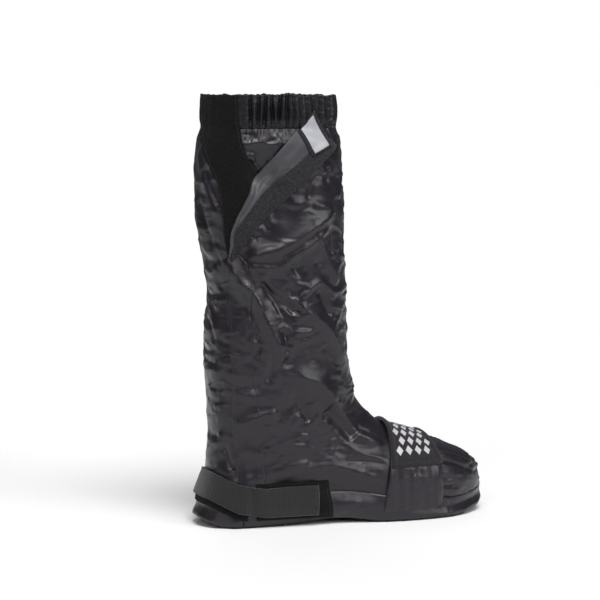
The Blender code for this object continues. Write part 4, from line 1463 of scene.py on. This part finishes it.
def makeLozenges(base, normals, wide, long):
    # one lozenge's copies, set in staggered rows
    look = lozengeLook
    shape, sides = lozengeShape()
    rows, cols = padLook["cells"]
    pitchWide, pitchLong = look["pitch"]
    count = int((long - 2 * look["margin"]) / pitchLong)
    points, faces = [], []
    for r in range(count):
        middleLong = (long - (count - 1) * pitchLong) / 2 + r * pitchLong
        shift = look["shift"] if r % 2 else -look["shift"]
        for c in range(look["across"]):
            middleWide = (wide - (look["across"] - 1) * pitchWide) / 2 + shift + c * pitchWide
            start = len(points)
            for x, y, z in shape:
                row = (middleLong + y * look["half"][1]) / long * (rows - 1)
                col = (middleWide + x * look["half"][0]) / wide * (cols - 1)
                i, j = int(row), int(col)
                a, b = row - i, col - j
                near = base[i, j] * (1 - b) + base[i, j + 1] * b
                far = base[i + 1, j] * (1 - b) + base[i + 1, j + 1] * b
                points.append(near * (1 - a) + far * a + normals[i, j] * (padLook["thick"] + look["high"] * z) * mm)
            faces += [[start + v for v in face] for face in sides]
    piece = meshFrom("pad_lozenges", points, faces)
    faceOutwards(piece)
    finishPiece(piece, whitePrint, "shift_pad_rubber", smooth=False)


makeBand()
makeLozenges(*makePad())
print("band and pad laid")

# rand

randLook = {
    "high": 26.0, "toeShare": 0.60, "thick": 0.55, "cells": (16, 420), "tautRows": 8,
    "under": 2.5,         # mm that it reaches below the sole's top
    # metres: the ends of the line that it is looked at from, and the radius of the turns there
    "heelAt": 0.002, "toeAt": 0.222, "middleY": 0.002, "turn": 0.05,
}


def roundFoot(share):
    # centre and outward way of a path round the foot: outer side, toe, inner side, heel
    look = randLook
    heelAt, toeAt, y = look["heelAt"], look["toeAt"], look["middleY"]
    straight, bend = toeAt - heelAt, math.pi * look["turn"]
    at = share * 2 * (straight + bend)
    if at < straight:
        return Vector((heelAt + at, y, 0)), Vector((0, -1, 0))
    at -= straight
    if at < bend:
        turn = at / look["turn"]
        return Vector((toeAt, y, 0)), Vector((math.sin(turn), -math.cos(turn), 0))
    at -= bend
    if at < straight:
        return Vector((toeAt - at, y, 0)), Vector((0, 1, 0))
    turn = (at - straight) / look["turn"]
    return Vector((heelAt, y, 0)), Vector((-math.sin(turn), math.cos(turn), 0))


def alongSole(x):
    # 0 at the sole's heel end and 1 at its toe end
    return (x / mm + 42) / 323


def soleTop(x):
    # height of the sole's top at a place along it, in mm, as the solids have it
    share = alongSole(x)
    heel = 8.0 * max(0.0, 1 - share / 0.09) ** 2
    toe = 9.0 * max(0.0, (share - 0.78) / 0.22) ** 3
    arch = 4.5 * math.sin(math.pi * min(1.0, max(0.0, (share - 0.28) / 0.33))) ** 2
    return 5.0 + heel + toe + arch


def makeRand():
    rows, cols = randLook["cells"]

    def sight(i, j, last):
        centre, out = roundFoot(j / cols)
        x = last.x if last is not None else centre.x + out.x * 0.045
        tall = randLook["high"] * (1 + (randLook["toeShare"] - 1) * rise((alongSole(x) - 0.5) / 0.4))
        up = (soleTop(x) - randLook["under"] + (tall + randLook["under"]) * i / (rows - 1)) * mm
        return centre + out * 0.2 + Vector((0, 0, up)), -out

    grid = wrapGrid(randLook["cells"], sight, stackTree("outsole"), 3, True, randLook["tautRows"])
    # it puckers towards its upper edge, and lies close to the cloth there
    climb = np.linspace(0, 1, rows)[:, None]
    lift = (0.7 - 0.45 * climb + noiseOn(grid, 120, 120, 60) * 0.5 * climb) * mm
    grid, normals = lifted(grid, lift, 3, True)
    sewnPiece("rand_cloth", grid, normals, randLook["thick"], nylon, "coated_nylon", "rand", closed=True)
    sewAlong(grid[-3], normals[-3], randLook["thick"] + 0.05, closed=True)


# heel strap, with the loop tapes under it and under its end

sideLoopLook = {
    "azimuth": 0, "cells": (30, 60), "rounds": 12, "lift": 0.6, "even": 4, "thick": 1.4,
    "left": [(12.5, 45.5), (13.5, 8.5)], "right": [(91.0, 46.5), (96.0, 9.0)],
    "seams": (0.04, 0.96), "proud": 0.1,
}
# low and high are the edges' distances from the strap's middle line, and end how far forwards it reaches
heelLoopLook = {
    "low": -22.0, "high": 8.0, "end": 4.0, "cells": (18, 190), "rounds": 10, "lift": 0.6, "even": 4,
    "thick": 1.2, "seams": (),
}
heelStrapLook = {
    "low": -strapLook["wide"] / 2, "high": strapLook["wide"] / 2, "end": strapLook["end"],
    "cells": (22, 300), "rounds": 12, "lift": 1.4, "even": 8, "thick": strapLook["thick"],
    # the webbing's end is turned in and sewn, and a bar of stitches holds it near the flap
    "seams": (0.012, 0.030, 0.970, 0.988, 0.128),
}


def wrapHeel(name, look, tree, material, slot, node):
    # a strap from the outer side round the heel to the inner side
    rows, cols = look["cells"]
    straight, bend = look["end"] * mm, 0.16

    def sight(i, j, last):
        at = (2 * straight + bend) * j / (cols - 1)
        if at < straight:
            centre, out = Vector((straight - at, 0, 0)), Vector((0, -1, 0))
        elif at < straight + bend:
            turn = (at - straight) / bend * math.pi
            centre, out = Vector((0, 0, 0)), Vector((-math.sin(turn), -math.cos(turn), 0))
        else:
            centre, out = Vector((at - straight - bend, 0, 0)), Vector((0, 1, 0))
        x = last.x if last is not None else centre.x + out.x * 0.04
        up = strapHeight(x / mm) + look["low"] + (look["high"] - look["low"]) * i / (rows - 1)
        return centre + out * 0.2 + Vector((0, 0, up * mm)), -out

    grid, normals = lifted(wrapGrid(look["cells"], sight, tree, look["rounds"]), look["lift"] * mm, look["even"])
    sewnPiece(name, grid, normals, look["thick"], material, slot, node)
    sewGrid(grid, normals, look["seams"], look["thick"] + 0.1)


makeRand()
under = ["rand_cloth", "flap_closed"]
layTape("side_loop_cloth", sideLoopLook, stackTree(*under), loopCloth, "loop_tape", "side_loop")
under.append("side_loop_cloth")
wrapHeel("heel_loop_cloth", heelLoopLook, stackTree(*under), loopCloth, "loop_tape", "heel_loop")
under.append("heel_loop_cloth")
wrapHeel("heel_strap_webbing", heelStrapLook, stackTree(*under), webbing, "webbing", "heel_strap")
print("rand and strap laid")

makeStitches()
bpy.data.objects.remove(skin)

# sole

sole = frame["nodes"]["outsole"]
sole.data.materials.clear()
sole.data.materials.append(soleRubber)

total = 0
for obj in bpy.context.scene.objects:
    if obj.type == "MESH" and obj.name not in frame["nodes"] and obj.name != "floor":
        obj.data.calc_loop_triangles()
        print(f"{obj.name}: {len(obj.data.loop_triangles)} triangles")
        total += len(obj.data.loop_triangles)
print("triangles added:", total)
